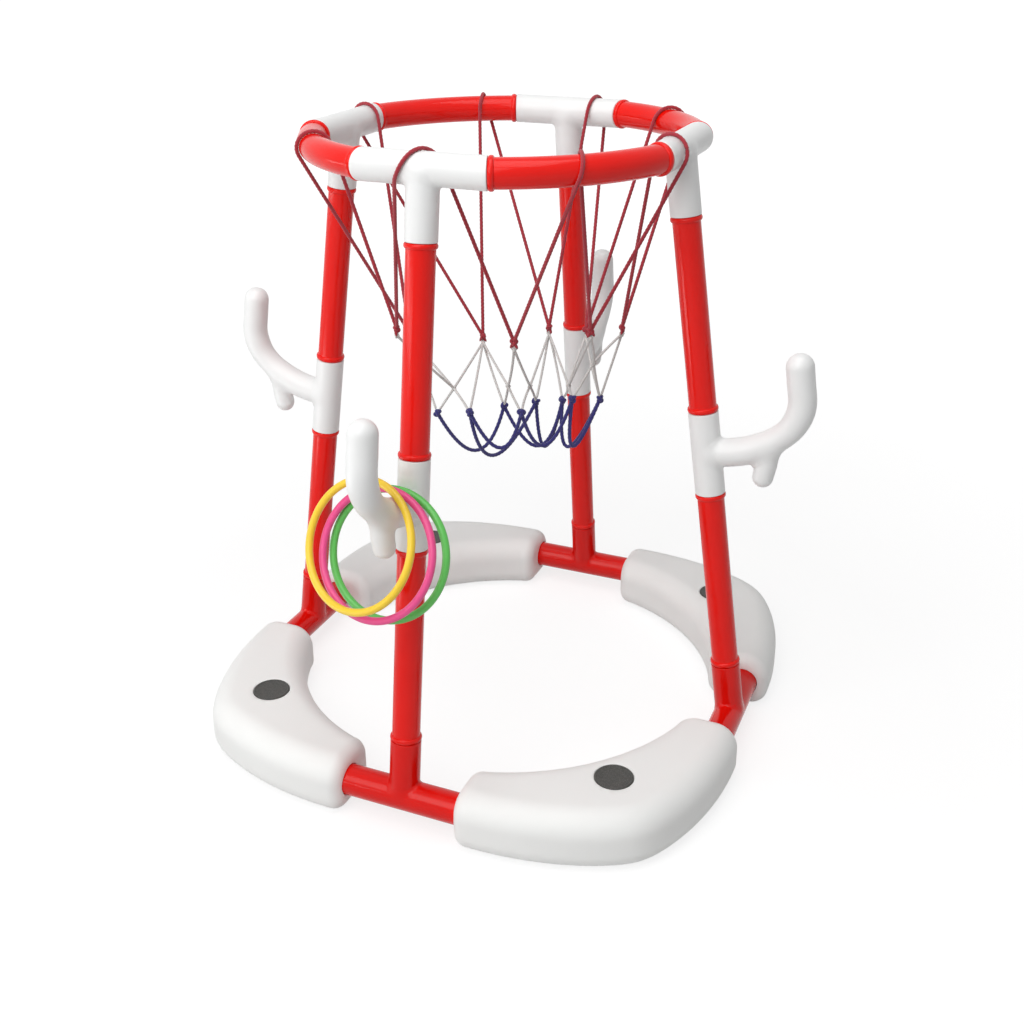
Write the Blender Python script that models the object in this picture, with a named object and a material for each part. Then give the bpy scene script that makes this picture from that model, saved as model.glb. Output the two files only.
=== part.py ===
"""Free-standing pool basketball hoop with a ring-toss set.

Four leaning legs of plugged tube carry a round rim with a cord net. Each leg has a swivelling hook
for toss rings, and the feet are tees plugged into four hollow floats that can be filled through a
stoppered neck. Lengths are in metres, +Z is up, the origin is on the floor under the rim's centre
and the front leg is toward -Y.
"""
import math

import bmesh
import bpy
from mathutils import Matrix, Vector

# Frame layout
RIM_RADIUS = 0.1675          # hoop axis to the centre line of a curved rim tube
RIM_TEE_HALF = 0.0542        # half of a rim tee's straight run, on its centre line
FOOT_RADIUS = 0.2317         # hoop axis to the centre line of a base tee's run
SIDE_NAMES = ("front", "right", "back", "left")
CORNER_NAMES = ("front_right", "back_right", "back_left", "front_left")
SIDE_STEP = math.pi / 2
FRONT_TURN = -math.pi / 2

# Red tubes and the connectors that plug into them
TUBE_RADIUS = 0.01225
TUBE_WALL = 0.0016
TUBE_LENGTH = 0.175
BEAD_RISE = 0.0016           # how far the rolled bead at a tube's mouth stands out
BEAD_LENGTH = 0.0048
BEAD_ROUND = 0.0009
CONNECTOR_RADIUS = 0.0135
SPIGOT_LENGTH = 0.018
SPIGOT_WALL = 0.0021
FIT = 0.00035                # radial clearance of a spigot, shank or socket
SEAM = 0.0003                # gap where two pieces meet end to end
RIM_STEM = 0.0565            # rim tee's centre to the shoulder of its stem
BASE_STEM = 0.0535           # base tee's centre to the shoulder of its stem
BASE_TEE_RADIUS = 0.01375
BASE_TEE_WALL = 0.0020

# Hooks
SLEEVE_LENGTH = 0.0776
ARM_RADIUS = 0.0128
ARM_REACH = 0.0380           # leg axis to where the arm starts to bend up
PRONG_REACH = 0.0882         # leg axis to the upright prong's axis
PRONG_RADIUS = 0.0124
PRONG_TIP = 0.0915           # arm axis to the top of the prong
WAIST_RADIUS = 0.0115
STUB_ROOT = 0.0580           # leg axis to where the stub's axis leaves the arm's
STUB_REACH = 0.0490
STUB_RADIUS = 0.0088
STUB_DROP = 0.0315           # arm axis to the end of the stub

# Floats
FLOAT_HEIGHT = 0.054
FLOAT_INNER_RADIUS = 0.205   # hoop axis to the concave inner face
FLOAT_SIDE_REACH = 0.1885    # pivot of the section planes to the outer face at the ends
FLOAT_CORNER_REACH = 0.0185  # extra reach of the outer face at the blunt corner
FLOAT_CORNER_POWER = 1.9
FLOAT_END = 0.054            # base tee's centre to the float's end face
FLOAT_END_ROUND = 0.012
FLOAT_TOP_ROUND = 0.022
FLOAT_BOTTOM_ROUND = 0.017
FLOAT_WALL = 0.0022
SOCKET_DEPTH = 0.024
SOCKET_WALL = 0.0020

# Filler neck and plug
PLUG_PLACE = 0.2435          # hoop axis to the plug's axis
PLUG_RADIUS = 0.0170
PLUG_HEAD = 0.0030
PLUG_SHANK_RADIUS = 0.0130
PLUG_SHANK = 0.0090
PLUG_SHANK_WALL = 0.0018
PLUG_PROUD = 0.0006          # how far the plug's rim stands above the float
PLUG_DISH = 0.0010           # depth of the shallow dish in the plug's top
NECK_WALL = 0.0030
NECK_LEDGE = 0.0016          # thickness of the ledge that the plug's head rests on

# Toss rings: each has its distance from the leg, then its yaw, pitch and swing in degrees
RING_RADIUS = 0.053
RING_SECTION = 0.0032
RING_GAP = 0.0007
RINGS = (
    ("toss_ring_green", 0.0262, -4.5, 13.0, -5.0, (0.18, 0.72, 0.16)),
    ("toss_ring_pink", 0.0365, -8.5, 16.5, -12.0, (0.90, 0.12, 0.42)),
    ("toss_ring_yellow", 0.0487, -14.0, 17.5, -31.0, (0.98, 0.78, 0.10)),
)

# Net. A wrap has its turn from the front, where it crosses over the rim, and how far it drifts along
# the rim on its way over, from the outer to the inner side. A knot has its turn from the front, its
# reach from the hoop axis and its drop below the rim's centre line.
TOP_CORD = 0.0017
MIDDLE_CORD = 0.0012
BOTTOM_CORD = 0.0018
TOP_KNOT = 0.0033
MIDDLE_KNOT = 0.0023
BOTTOM_KNOT = 0.0039
WRAPS = (
    (-2.0, 0.026), (43.0, 0.012), (80.0, 0.014), (137.0, 0.012), (169.5, 0.008), (210.0, 0.012),
    (256.0, 0.010), (311.0, 0.012),
)
TOP_KNOTS = (
    (27.2, 0.100, 0.156), (71.0, 0.100, 0.157), (115.0, 0.108, 0.177), (151.6, 0.100, 0.198),
    (177.6, 0.100, 0.204), (216.5, 0.100, 0.215), (273.0, 0.098, 0.190), (320.0, 0.108, 0.160),
)
BOTTOM_KNOTS = (
    (43.2, 0.0404, 0.2450), (95.2, 0.0647, 0.2387), (113.2, 0.0887, 0.2464), (135.3, 0.0586, 0.2558),
    (162.6, 0.0448, 0.2617), (206.4, 0.0381, 0.2676), (295.0, 0.0653, 0.2587), (340.3, 0.0492, 0.2449),
)
CROSSINGS = (
    (284.1, 0.0501, 0.2378), (113.2, 0.0020, 0.2331), (105.6, 0.0227, 0.2322), (126.5, 0.0611, 0.2385),
    (99.3, 0.0831, 0.2031),
)
# Twines go from top knots to crossing knots, on to bottom knots, or straight from top to bottom. A
# loop goes from one bottom knot to another, sags and leans along its span by a share of it.
HIGH_TWINES = (
    (5, 0), (6, 0), (7, 0), (5, 1), (0, 1), (0, 2), (4, 2), (4, 3), (3, 3), (1, 3), (1, 4), (2, 4),
)
LOW_TWINES = ((0, 6), (0, 7), (1, 0), (1, 5), (2, 4), (2, 0), (3, 1), (3, 3), (4, 2), (4, 1))
LONG_TWINES = ((5, 7), (5, 5), (4, 4), (4, 3), (3, 2), (2, 2), (6, 6))
LOOPS = (
    (6, 5, 0.0436, 0.07), (7, 4, 0.0479, -0.15), (7, 0, 0.0353, 0.09), (5, 3, 0.0458, 0.09),
    (0, 1, 0.0390, -0.04), (4, 3, 0.0481, -0.16), (2, 3, 0.0490, 0.34), (2, 1, 0.0479, 0.45),
)

# Facets
TUBE_SIDES = 14
HOOK_SIDES = 12
CORD_SIDES = 5
THIN_CORD_SIDES = 4
WRAP_STEPS = 7
LOOP_STEPS = 6
RING_STEPS = 28
RING_SIDES = 6
RIM_STEPS = 5
ROUND_STEPS = 3
CAVITY_ROUND_STEPS = 1
FLOAT_STEPS = 8
PLUG_SIDES = 16

# Sizes that follow from the ones above
RIM_TEE_PLACE = math.sqrt(RIM_RADIUS ** 2 - RIM_TEE_HALF ** 2)
RIM_MITRE = math.atan2(RIM_TEE_HALF, RIM_TEE_PLACE)
LEG_LENGTH = BASE_STEM + TUBE_LENGTH + SLEEVE_LENGTH + TUBE_LENGTH + RIM_STEM + 4 * SEAM
LEG_LEAN = math.asin((FOOT_RADIUS - RIM_TEE_PLACE) / LEG_LENGTH)
BASE_HEIGHT = FLOAT_HEIGHT / 2
RIM_HEIGHT = BASE_HEIGHT + LEG_LENGTH * math.cos(LEG_LEAN)
LOWER_TUBE_START = BASE_STEM + SEAM
SLEEVE_START = LOWER_TUBE_START + TUBE_LENGTH + SEAM
SLEEVE_MIDDLE = SLEEVE_START + SLEEVE_LENGTH / 2
UPPER_TUBE_START = SLEEVE_START + SLEEVE_LENGTH + SEAM
TUBE_BORE = TUBE_RADIUS - TUBE_WALL
SPIGOT_RADIUS = TUBE_BORE - FIT
SPIGOT_BORE = SPIGOT_RADIUS - SPIGOT_WALL
SPIGOT_TURN = SPIGOT_LENGTH / RIM_RADIUS
RIM_SAG = RIM_RADIUS * (1 - math.cos((SIDE_STEP / 2 - RIM_MITRE) / RIM_STEPS))
SEAM_TURN = SEAM / RIM_RADIUS
OVERRUN = 0.004


def clear_scene():
    """Removes every object of the startup scene."""
    for item in list(bpy.data.objects):
        bpy.data.objects.remove(item)


def plastic(name, colour, roughness):
    """A plain plastic with its own colour and roughness."""
    material = bpy.data.materials.new(name)
    material.use_nodes = True
    shader = material.node_tree.nodes["Principled BSDF"]
    shader.inputs["Base Color"].default_value = (*colour, 1.0)
    shader.inputs["Roughness"].default_value = roughness
    shader.inputs["Metallic"].default_value = 0.0
    material.diffuse_color = (*colour, 1.0)
    return material


def mesh_from(name, points, faces):
    """A closed mesh with its faces turned outward."""
    mesh = bpy.data.meshes.new(name)
    mesh.from_pydata([tuple(point) for point in points], [], faces)
    work = bmesh.new()
    work.from_mesh(mesh)
    bmesh.ops.recalc_face_normals(work, faces=work.faces)
    work.to_mesh(mesh)
    work.free()
    return mesh


def loft(name, rings, cyclic=False):
    """Skins closed rings of points in order, capped at both ends or joined end to end."""
    count = len(rings[0])
    points = [point for ring in rings for point in ring]
    faces = []
    spans = len(rings) if cyclic else len(rings) - 1
    for step in range(spans):
        near = step * count
        far = (step + 1) % len(rings) * count
        for side in range(count):
            after = (side + 1) % count
            faces.append((near + side, near + after, far + after, far + side))
    if not cyclic:
        faces.append(tuple(reversed(range(count))))
        faces.append(tuple(range(len(points) - count, len(points))))
    return mesh_from(name, points, faces)


def turned(name, profile, sides, open_bore=False):
    """Turns a profile of radius and height about Z. A solid starts and ends on the axis."""
    rings = [[Vector((radius * math.cos(turn), radius * math.sin(turn), height))
              for turn in turns(sides)] for radius, height in profile]
    if open_bore:
        return loft(name, rings, cyclic=True)
    first = Vector((0.0, 0.0, profile[0][1]))
    last = Vector((0.0, 0.0, profile[-1][1]))
    rings = rings[1:-1]
    points = [point for ring in rings for point in ring] + [first, last]
    faces = []
    for step in range(len(rings) - 1):
        for side in range(sides):
            after = (side + 1) % sides
            near = step * sides
            faces.append((near + side, near + after, near + sides + after, near + sides + side))
    tail = (len(rings) - 1) * sides
    for side in range(sides):
        after = (side + 1) % sides
        faces.append((after, side, len(points) - 2))
        faces.append((tail + side, tail + after, len(points) - 1))
    return mesh_from(name, points, faces)


def turns(sides):
    """Evenly spaced angles round a circle."""
    return [2 * math.pi * side / sides for side in range(sides)]


def place(name, mesh, material=None, parent=None, location=(0.0, 0.0, 0.0), rotation=(0.0, 0.0, 0.0)):
    """Adds an object for a mesh under a parent."""
    item = bpy.data.objects.new(name, mesh)
    bpy.context.collection.objects.link(item)
    item.parent = parent
    item.location = location
    item.rotation_euler = rotation
    if material and not mesh.materials:
        mesh.materials.append(material)
    return item


def empty(name, parent=None, location=(0.0, 0.0, 0.0), rotation=(0.0, 0.0, 0.0)):
    """A guide frame that other pieces hang from."""
    return place(name, None, None, parent, location, rotation)


def combine(mesh, tools):
    """Joins or cuts a mesh with others in order and returns the finished mesh."""
    body = place("body_in_work", mesh)
    for operation, tool_mesh in tools:
        tool = place("tool_in_work", tool_mesh)
        tool.hide_render = True
        tool.display_type = "WIRE"
        change = body.modifiers.new("change", "BOOLEAN")
        change.operation = operation
        change.solver = "EXACT"
        change.object = tool
        bpy.context.view_layer.update()
        finished = body.evaluated_get(bpy.context.evaluated_depsgraph_get())
        body.data = bpy.data.meshes.new_from_object(finished)
        body.modifiers.clear()
        bpy.data.objects.remove(tool)
    result = body.data
    bpy.data.objects.remove(body)
    return result


def join_all(name, meshes):
    """Unites many overlapping solids into one body with a single exact union."""
    group = bpy.data.collections.new("union_in_work")
    pieces = [place("piece_in_work", mesh) for mesh in meshes]
    for piece in pieces[1:]:
        group.objects.link(piece)
    union = pieces[0].modifiers.new("union", "BOOLEAN")
    union.operation = "UNION"
    union.solver = "EXACT"
    union.operand_type = "COLLECTION"
    union.collection = group
    bpy.context.view_layer.update()
    finished = pieces[0].evaluated_get(bpy.context.evaluated_depsgraph_get())
    result = bpy.data.meshes.new_from_object(finished)
    result.name = name
    for piece in pieces:
        bpy.data.objects.remove(piece)
    bpy.data.collections.remove(group)
    return result


def smooth(mesh):
    """Shades round faces smooth and keeps edges sharper than 35 degrees."""
    mesh.shade_smooth()
    mesh.set_sharp_from_angle(angle=math.radians(35.0))
    return mesh


def round_y(radius, centre, sides=TUBE_SIDES):
    """A circle across the Y axis, at a place along Y."""
    return [Vector((radius * math.cos(turn), centre, radius * math.sin(turn))) for turn in turns(sides)]


def rim_ring(radius, turn, axis_place=0.0):
    """A circle across the rim at a turn about the hoop axis, which is at X = -axis_place."""
    return [Vector(((RIM_RADIUS + radius * math.cos(side)) * math.cos(turn) - axis_place,
                    (RIM_RADIUS + radius * math.cos(side)) * math.sin(turn),
                    radius * math.sin(side))) for side in turns(TUBE_SIDES)]


def tube_mesh():
    """A straight leg tube with a rolled bead round each mouth. Z runs along it from its foot."""
    bead = TUBE_RADIUS + BEAD_RISE
    half = [(TUBE_BORE, 0.0), (bead - BEAD_ROUND, 0.0), (bead, BEAD_LENGTH / 2), (TUBE_RADIUS, BEAD_LENGTH)]
    other = [(radius, TUBE_LENGTH - height) for radius, height in reversed(half)]
    return smooth(turned("leg_tube", half + other, TUBE_SIDES, open_bore=True))


def rim_tube_mesh():
    """A curved rim tube between two rim tees, with a bead round each mouth."""
    start = RIM_MITRE + SEAM_TURN
    end = SIDE_STEP - start
    bead = TUBE_RADIUS + BEAD_RISE
    mouth = [(bead - BEAD_ROUND, 0.0), (bead, BEAD_LENGTH / 2), (TUBE_RADIUS, BEAD_LENGTH)]
    outer = [(radius, start + run / RIM_RADIUS) for radius, run in mouth]
    first = start + BEAD_LENGTH / RIM_RADIUS
    last = end - BEAD_LENGTH / RIM_RADIUS
    for step in range(1, RIM_STEPS):
        outer.append((TUBE_RADIUS, first + (last - first) * step / RIM_STEPS))
    outer += [(radius, end - run / RIM_RADIUS) for radius, run in reversed(mouth)]
    plug_end = start + SPIGOT_TURN
    inner = [(TUBE_BORE, start)]
    for step in range(RIM_STEPS - 1):
        inner.append((TUBE_BORE, plug_end + (SIDE_STEP - 2 * plug_end) * step / (RIM_STEPS - 2)))
    inner.append((TUBE_BORE, end))
    rings = [rim_ring(radius, turn) for radius, turn in outer + inner[::-1]]
    return smooth(loft("rim_tube", rings, cyclic=True))


def stem_profile(shoulder, radius, root=0.0):
    """Outline of a stem with its spigot, turned about Z, from the axis to the axis."""
    end = shoulder + SPIGOT_LENGTH
    return [(0.0, root), (radius, root), (radius, shoulder), (SPIGOT_RADIUS, shoulder),
            (SPIGOT_RADIUS, end), (0.0, end)]


def bore_mesh(radius, start, end, sides=TUBE_SIDES):
    """A straight cutter along Z."""
    return turned("bore", [(0.0, start), (radius, start), (radius, end), (0.0, end)], sides)


def rim_tee_mesh():
    """A rim tee: straight run mitred to the hoop's radial planes, curved spigots and a leaning stem."""
    reach = RIM_MITRE + SPIGOT_TURN - SEAM_TURN
    half = [(SPIGOT_RADIUS, reach), (SPIGOT_RADIUS, RIM_MITRE), (CONNECTOR_RADIUS, RIM_MITRE)]
    stations = [(radius, -turn) for radius, turn in half] + half[::-1]
    run = loft("rim_tee", [rim_ring(radius, turn, RIM_TEE_PLACE) for radius, turn in stations])
    far = reach + OVERRUN / RIM_RADIUS
    bends = (-far, -RIM_MITRE, RIM_MITRE, far)
    run_bore = loft("run_bore", [rim_ring(SPIGOT_BORE, turn, RIM_TEE_PLACE) for turn in bends])
    lean = Matrix.Rotation(math.pi - LEG_LEAN, 4, "Y")
    stem = turned("stem", stem_profile(RIM_STEM, CONNECTOR_RADIUS), TUBE_SIDES)
    stem.transform(lean)
    stem_bore = bore_mesh(SPIGOT_BORE, 0.0, RIM_STEM + SPIGOT_LENGTH + OVERRUN)
    stem_bore.transform(lean)
    return smooth(combine(run, [("UNION", stem), ("DIFFERENCE", run_bore), ("DIFFERENCE", stem_bore)]))


def base_tee_mesh():
    """A base tee: straight run whose ends plug into two floats, and a stem with a spigot."""
    half = FLOAT_END + SOCKET_DEPTH - SEAM
    far = half + OVERRUN
    run = loft("base_tee", [round_y(BASE_TEE_RADIUS, end) for end in (-half, half)])
    run_bore = loft("run_bore", [round_y(BASE_TEE_RADIUS - BASE_TEE_WALL, end) for end in (-far, far)])
    stem = turned("stem", stem_profile(BASE_STEM, CONNECTOR_RADIUS), TUBE_SIDES)
    stem_bore = bore_mesh(SPIGOT_BORE, 0.0, BASE_STEM + SPIGOT_LENGTH + OVERRUN)
    return smooth(combine(run, [("UNION", stem), ("DIFFERENCE", run_bore), ("DIFFERENCE", stem_bore)]))


def limb(name, stations):
    """A round limb in the XZ plane, through stations of X, Z and radius, with its end closed."""
    rings = []
    for index, (reach, rise, radius) in enumerate(stations):
        before = stations[max(index - 1, 0)]
        after = stations[min(index + 1, len(stations) - 1)]
        along = Vector((after[0] - before[0], 0.0, after[1] - before[1])).normalized()
        across = Vector((along.z, 0.0, -along.x))
        centre = Vector((reach, 0.0, rise))
        rings.append([centre + radius * (math.cos(turn) * across + math.sin(turn) * Vector((0.0, 1.0, 0.0)))
                      for turn in turns(HOOK_SIDES)])
    return loft(name, rings)


def tip_stations(place_x, top, radius, upward):
    """Two stations that round off the end of a limb."""
    return [(place_x, top - upward * radius * (1 - math.sin(turn)), radius * math.cos(turn))
            for turn in (math.radians(32.0), math.radians(68.0))]


def arm_stations():
    """Centre line of the hook's arm and prong: out from the leg, round a bend, and up."""
    start = [(0.0, 0.0, ARM_RADIUS), (ARM_REACH * 0.55, 0.0, ARM_RADIUS), (ARM_REACH, 0.0025, ARM_RADIUS)]
    bend = []
    for share, rise, radius in ((0.30, 0.0078, 0.4), (0.56, 0.0145, 0.0), (0.78, 0.0235, 0.1),
                                (0.93, 0.0350, 0.5)):
        reach = ARM_REACH + (PRONG_REACH - ARM_REACH) * share
        bend.append((reach, rise, WAIST_RADIUS + (ARM_RADIUS - WAIST_RADIUS) * radius))
    prong = [(PRONG_REACH, PRONG_TIP * 0.52, PRONG_RADIUS),
             (PRONG_REACH, PRONG_TIP - PRONG_RADIUS, PRONG_RADIUS)]
    return start + bend + prong + tip_stations(PRONG_REACH, PRONG_TIP, PRONG_RADIUS, 1.0)


def stub_stations():
    """Centre line of the short stub that slants down from the arm, back toward the leg."""
    root = [(STUB_ROOT, 0.0045, STUB_RADIUS),
            (STUB_ROOT + (STUB_REACH - STUB_ROOT) * 0.5, -STUB_DROP * 0.28, STUB_RADIUS * 1.06),
            (STUB_REACH, STUB_RADIUS - STUB_DROP, STUB_RADIUS)]
    return root + tip_stations(STUB_REACH, -STUB_DROP, STUB_RADIUS, -1.0)


def hook_mesh():
    """A hook sleeve with a spigot at each end and a forked limb. X points away from the hoop axis."""
    upper = stem_profile(SLEEVE_LENGTH / 2, CONNECTOR_RADIUS)
    lower = [(radius, -height) for radius, height in reversed(upper)]
    sleeve = turned("hook", lower[:-2] + upper[2:], TUBE_SIDES)
    far = SLEEVE_LENGTH / 2 + SPIGOT_LENGTH + OVERRUN
    tools = [("UNION", limb("arm", arm_stations())), ("UNION", limb("stub", stub_stations())),
             ("DIFFERENCE", bore_mesh(SPIGOT_BORE, -far, far))]
    return smooth(combine(sleeve, tools))


def float_reach(turn):
    """Distances from the section pivot to the inner and outer faces, at a turn from the corner."""
    pivot = FLOAT_END + FLOAT_END_ROUND
    along = pivot * math.sqrt(2.0) * math.cos(turn)
    inner = math.sqrt(along ** 2 - 2 * pivot ** 2 + FLOAT_INNER_RADIUS ** 2) - along
    share = min(abs(turn) / (SIDE_STEP / 2), 1.0)
    outer = FLOAT_SIDE_REACH + FLOAT_CORNER_REACH * (1 - share) ** FLOAT_CORNER_POWER
    return inner, outer


def float_section(half_width, inset, corner_steps=ROUND_STEPS):
    """Outline of a float across its run: flat below, rounder above, shrunk by an inset.

    With one step to a corner, each corner is a plain chamfer, less deep than the outer rounding.
    """
    wide = half_width - inset
    high = FLOAT_HEIGHT / 2 - inset
    outline = []
    for quarter in range(4):
        full = FLOAT_TOP_ROUND if quarter in (0, 1) else FLOAT_BOTTOM_ROUND
        corner = full * 0.65 if corner_steps == 1 else full - inset
        corner = max(min(corner, wide * 0.95, high * 0.95), full * 0.2)
        side_x = 1 if quarter in (0, 3) else -1
        side_z = 1 if quarter in (0, 1) else -1
        for step in range(corner_steps + 1):
            turn = math.pi / 2 * (quarter + step / corner_steps)
            outline.append((side_x * (wide - corner) + corner * math.cos(turn),
                            side_z * (high - corner) + corner * math.sin(turn)))
    return outline


def float_ring(turn, slide, inset, corner_steps=ROUND_STEPS):
    """One section of a float. Slide moves it off its plane, toward the float's near end."""
    pivot = FLOAT_END + FLOAT_END_ROUND
    inner, outer = float_reach(turn)
    heading = turn - SIDE_STEP / 2
    outward = Vector((math.cos(heading), math.sin(heading), 0.0))
    onward = Vector((-math.sin(heading), math.cos(heading), 0.0))
    middle = Vector((pivot, -pivot, 0.0)) + outward * (inner + outer) / 2 + onward * slide
    return [middle + outward * wide + Vector((0.0, 0.0, high))
            for wide, high in float_section((outer - inner) / 2, inset, corner_steps)]


def float_rings(inset, steps, corner_steps=ROUND_STEPS):
    """Sections of a float from its front end to its side end, with rounded ends."""
    end = SIDE_STEP / 2
    caps = []
    for step in range(corner_steps):
        turn = math.pi / 2 * step / corner_steps
        caps.append((FLOAT_END_ROUND * math.cos(turn), FLOAT_END_ROUND * (1 - math.sin(turn))))
    rings = [float_ring(-end, -max(slide - inset, slide * 0.5), inset + shrink, corner_steps)
             for slide, shrink in caps]
    rings += [float_ring(end * (2 * step / steps - 1), 0.0, inset, corner_steps)
              for step in range(steps + 1)]
    rings += [float_ring(end, max(slide - inset, slide * 0.5), inset + shrink, corner_steps)
              for slide, shrink in reversed(caps)]
    return rings


def along_run(mesh, start, side_end):
    """Turns a piece made along Z so that it points into a float end from the tee's centre."""
    if side_end:
        turn = Matrix.Rotation(math.pi / 2, 4, "X")
        mesh.transform(Matrix.Translation((FOOT_RADIUS, -start, 0.0)) @ turn)
    else:
        turn = Matrix.Rotation(math.pi / 2, 4, "Y")
        mesh.transform(Matrix.Translation((start, -FOOT_RADIUS, 0.0)) @ turn)
    return mesh


def float_mesh():
    """A hollow float for the front right corner, with two tee sockets and a stepped filler neck."""
    shell = loft("float", float_rings(0.0, FLOAT_STEPS))
    cavity = loft("cavity", float_rings(FLOAT_WALL, FLOAT_STEPS, CAVITY_ROUND_STEPS))
    socket = BASE_TEE_RADIUS + FIT
    tools = [("DIFFERENCE", cavity)]
    for side_end in (False, True):
        cup = bore_mesh(socket + SOCKET_WALL, FLOAT_WALL / 2, SOCKET_DEPTH + SOCKET_WALL)
        tools.append(("UNION", along_run(cup, FLOAT_END, side_end)))
    for side_end in (False, True):
        bore = bore_mesh(socket, -OVERRUN, SOCKET_DEPTH)
        tools.append(("DIFFERENCE", along_run(bore, FLOAT_END, side_end)))
    top = FLOAT_HEIGHT / 2
    recess = PLUG_HEAD - PLUG_PROUD + SEAM
    neck = PLUG_SHANK_RADIUS + FIT
    place_xy = PLUG_PLACE / math.sqrt(2.0)
    here = Matrix.Translation((place_xy, -place_xy, top))
    boss = bore_mesh(PLUG_RADIUS + FIT + NECK_WALL, -recess - NECK_LEDGE, -FLOAT_WALL / 2, PLUG_SIDES)
    seat = bore_mesh(PLUG_RADIUS + FIT, -recess, OVERRUN, PLUG_SIDES)
    hole = bore_mesh(neck, -recess - NECK_LEDGE - OVERRUN, OVERRUN, PLUG_SIDES)
    for piece in (boss, seat, hole):
        piece.transform(here)
    tools += [("UNION", boss), ("DIFFERENCE", seat), ("DIFFERENCE", hole)]
    return smooth(combine(shell, tools))


def plug_mesh():
    """A soft stopper: dished head and a hollow shank. Z = 0 is the float's top."""
    foot = PLUG_PROUD - PLUG_HEAD
    inside = PLUG_SHANK_RADIUS - PLUG_SHANK_WALL
    profile = [(0.0, PLUG_PROUD - PLUG_DISH), (PLUG_RADIUS * 0.78, PLUG_PROUD - PLUG_DISH),
               (PLUG_RADIUS * 0.90, PLUG_PROUD), (PLUG_RADIUS, 0.0), (PLUG_RADIUS, foot),
               (PLUG_SHANK_RADIUS, foot),
               (PLUG_SHANK_RADIUS, foot - PLUG_SHANK), (inside, foot - PLUG_SHANK),
               (inside, foot), (0.0, foot)]
    return smooth(turned("float_plug", profile, PLUG_SIDES))


def torus_mesh(name, radius, section, steps, sides):
    """A round ring about Z."""
    rings = []
    for turn in turns(steps):
        outward = Vector((math.cos(turn), math.sin(turn), 0.0))
        rings.append([outward * (radius + section * math.cos(side)) + Vector((0.0, 0.0, section * math.sin(side)))
                      for side in turns(sides)])
    return smooth(loft(name, rings, cyclic=True))


def cord_mesh(name, path, radius, cyclic=False, sides=CORD_SIDES):
    """A cord along a path of points, with its section carried along without twist."""
    rings = []
    count = len(path)
    side = None
    for index, point in enumerate(path):
        before = path[index - 1] if cyclic or index else point
        after = path[(index + 1) % count] if cyclic or index < count - 1 else point
        along = (after - before).normalized()
        if side is None:
            side = along.orthogonal().normalized()
        side = (side - along * side.dot(along)).normalized()
        other = along.cross(side)
        rings.append([point + radius * (math.cos(turn) * side + math.sin(turn) * other)
                      for turn in turns(sides)])
    return loft(name, rings, cyclic=cyclic)


def knot_mesh(name, centre, radius, detail=1):
    """A small round knot."""
    work = bmesh.new()
    bmesh.ops.create_icosphere(work, subdivisions=detail, radius=radius)
    bmesh.ops.translate(work, verts=work.verts, vec=centre)
    mesh = bpy.data.meshes.new(name)
    work.to_mesh(mesh)
    work.free()
    return mesh


def net_point(turn, reach, drop):
    """A point of the net from its turn from the front in degrees, reach and drop below the rim."""
    angle = FRONT_TURN + math.radians(turn)
    return Vector((reach * math.cos(angle), reach * math.sin(angle), RIM_HEIGHT - drop))


def rim_place(turn):
    """Centre, direction and radius of the rim at a turn from the front in degrees."""
    angle = math.radians(turn)
    side = round(angle / SIDE_STEP)
    off = angle - side * SIDE_STEP
    heading = FRONT_TURN + angle
    outward = Vector((math.cos(heading), math.sin(heading), 0.0))
    if abs(off) < RIM_MITRE:
        square = FRONT_TURN + side * SIDE_STEP
        run = Vector((-math.sin(square), math.cos(square), 0.0))
        return outward * RIM_TEE_PLACE / math.cos(off), run, CONNECTOR_RADIUS
    return outward * RIM_RADIUS, Vector((-outward.y, outward.x, 0.0)), TUBE_RADIUS


def wrap_path(turn, drift, outer_end, inner_end):
    """A taut cord from one knot up outside the rim, over it and down inside it to the next knot."""
    centre, run, tube = rim_place(turn)
    inward = Vector((-run.y, run.x, 0.0))
    middle = centre + Vector((0.0, 0.0, RIM_HEIGHT))
    reach = (tube + SEAM + RIM_SAG + TOP_CORD) / math.cos(math.pi / (2 * WRAP_STEPS))
    leave = []
    for end, way in ((outer_end, -1), (inner_end, 1)):
        aim = end - middle
        flat = math.hypot(aim.dot(inward), aim.z)
        leave.append(math.atan2(aim.dot(inward), -aim.z) + way * math.acos(reach / flat))
    first = leave[0] + 2 * math.pi
    over = []
    for step in range(WRAP_STEPS + 1):
        share = step / WRAP_STEPS
        angle = first + (leave[1] - first) * share
        side = math.sin(angle) * inward - math.cos(angle) * Vector((0.0, 0.0, 1.0))
        over.append(middle + reach * side + run * drift * (share - 0.5))
    return [outer_end] + over + [inner_end]


def top_net_mesh():
    """The red part: eight cords, each from one knot over the rim to the next knot."""
    pieces = []
    knots = [net_point(*knot) for knot in TOP_KNOTS]
    for index, (turn, drift) in enumerate(WRAPS):
        path = wrap_path(turn, drift, knots[index - 1], knots[index])
        pieces.append(cord_mesh("cord", path, TOP_CORD))
    pieces += [knot_mesh("knot", knot, TOP_KNOT) for knot in knots]
    return join_all("net_top", pieces)


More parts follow.
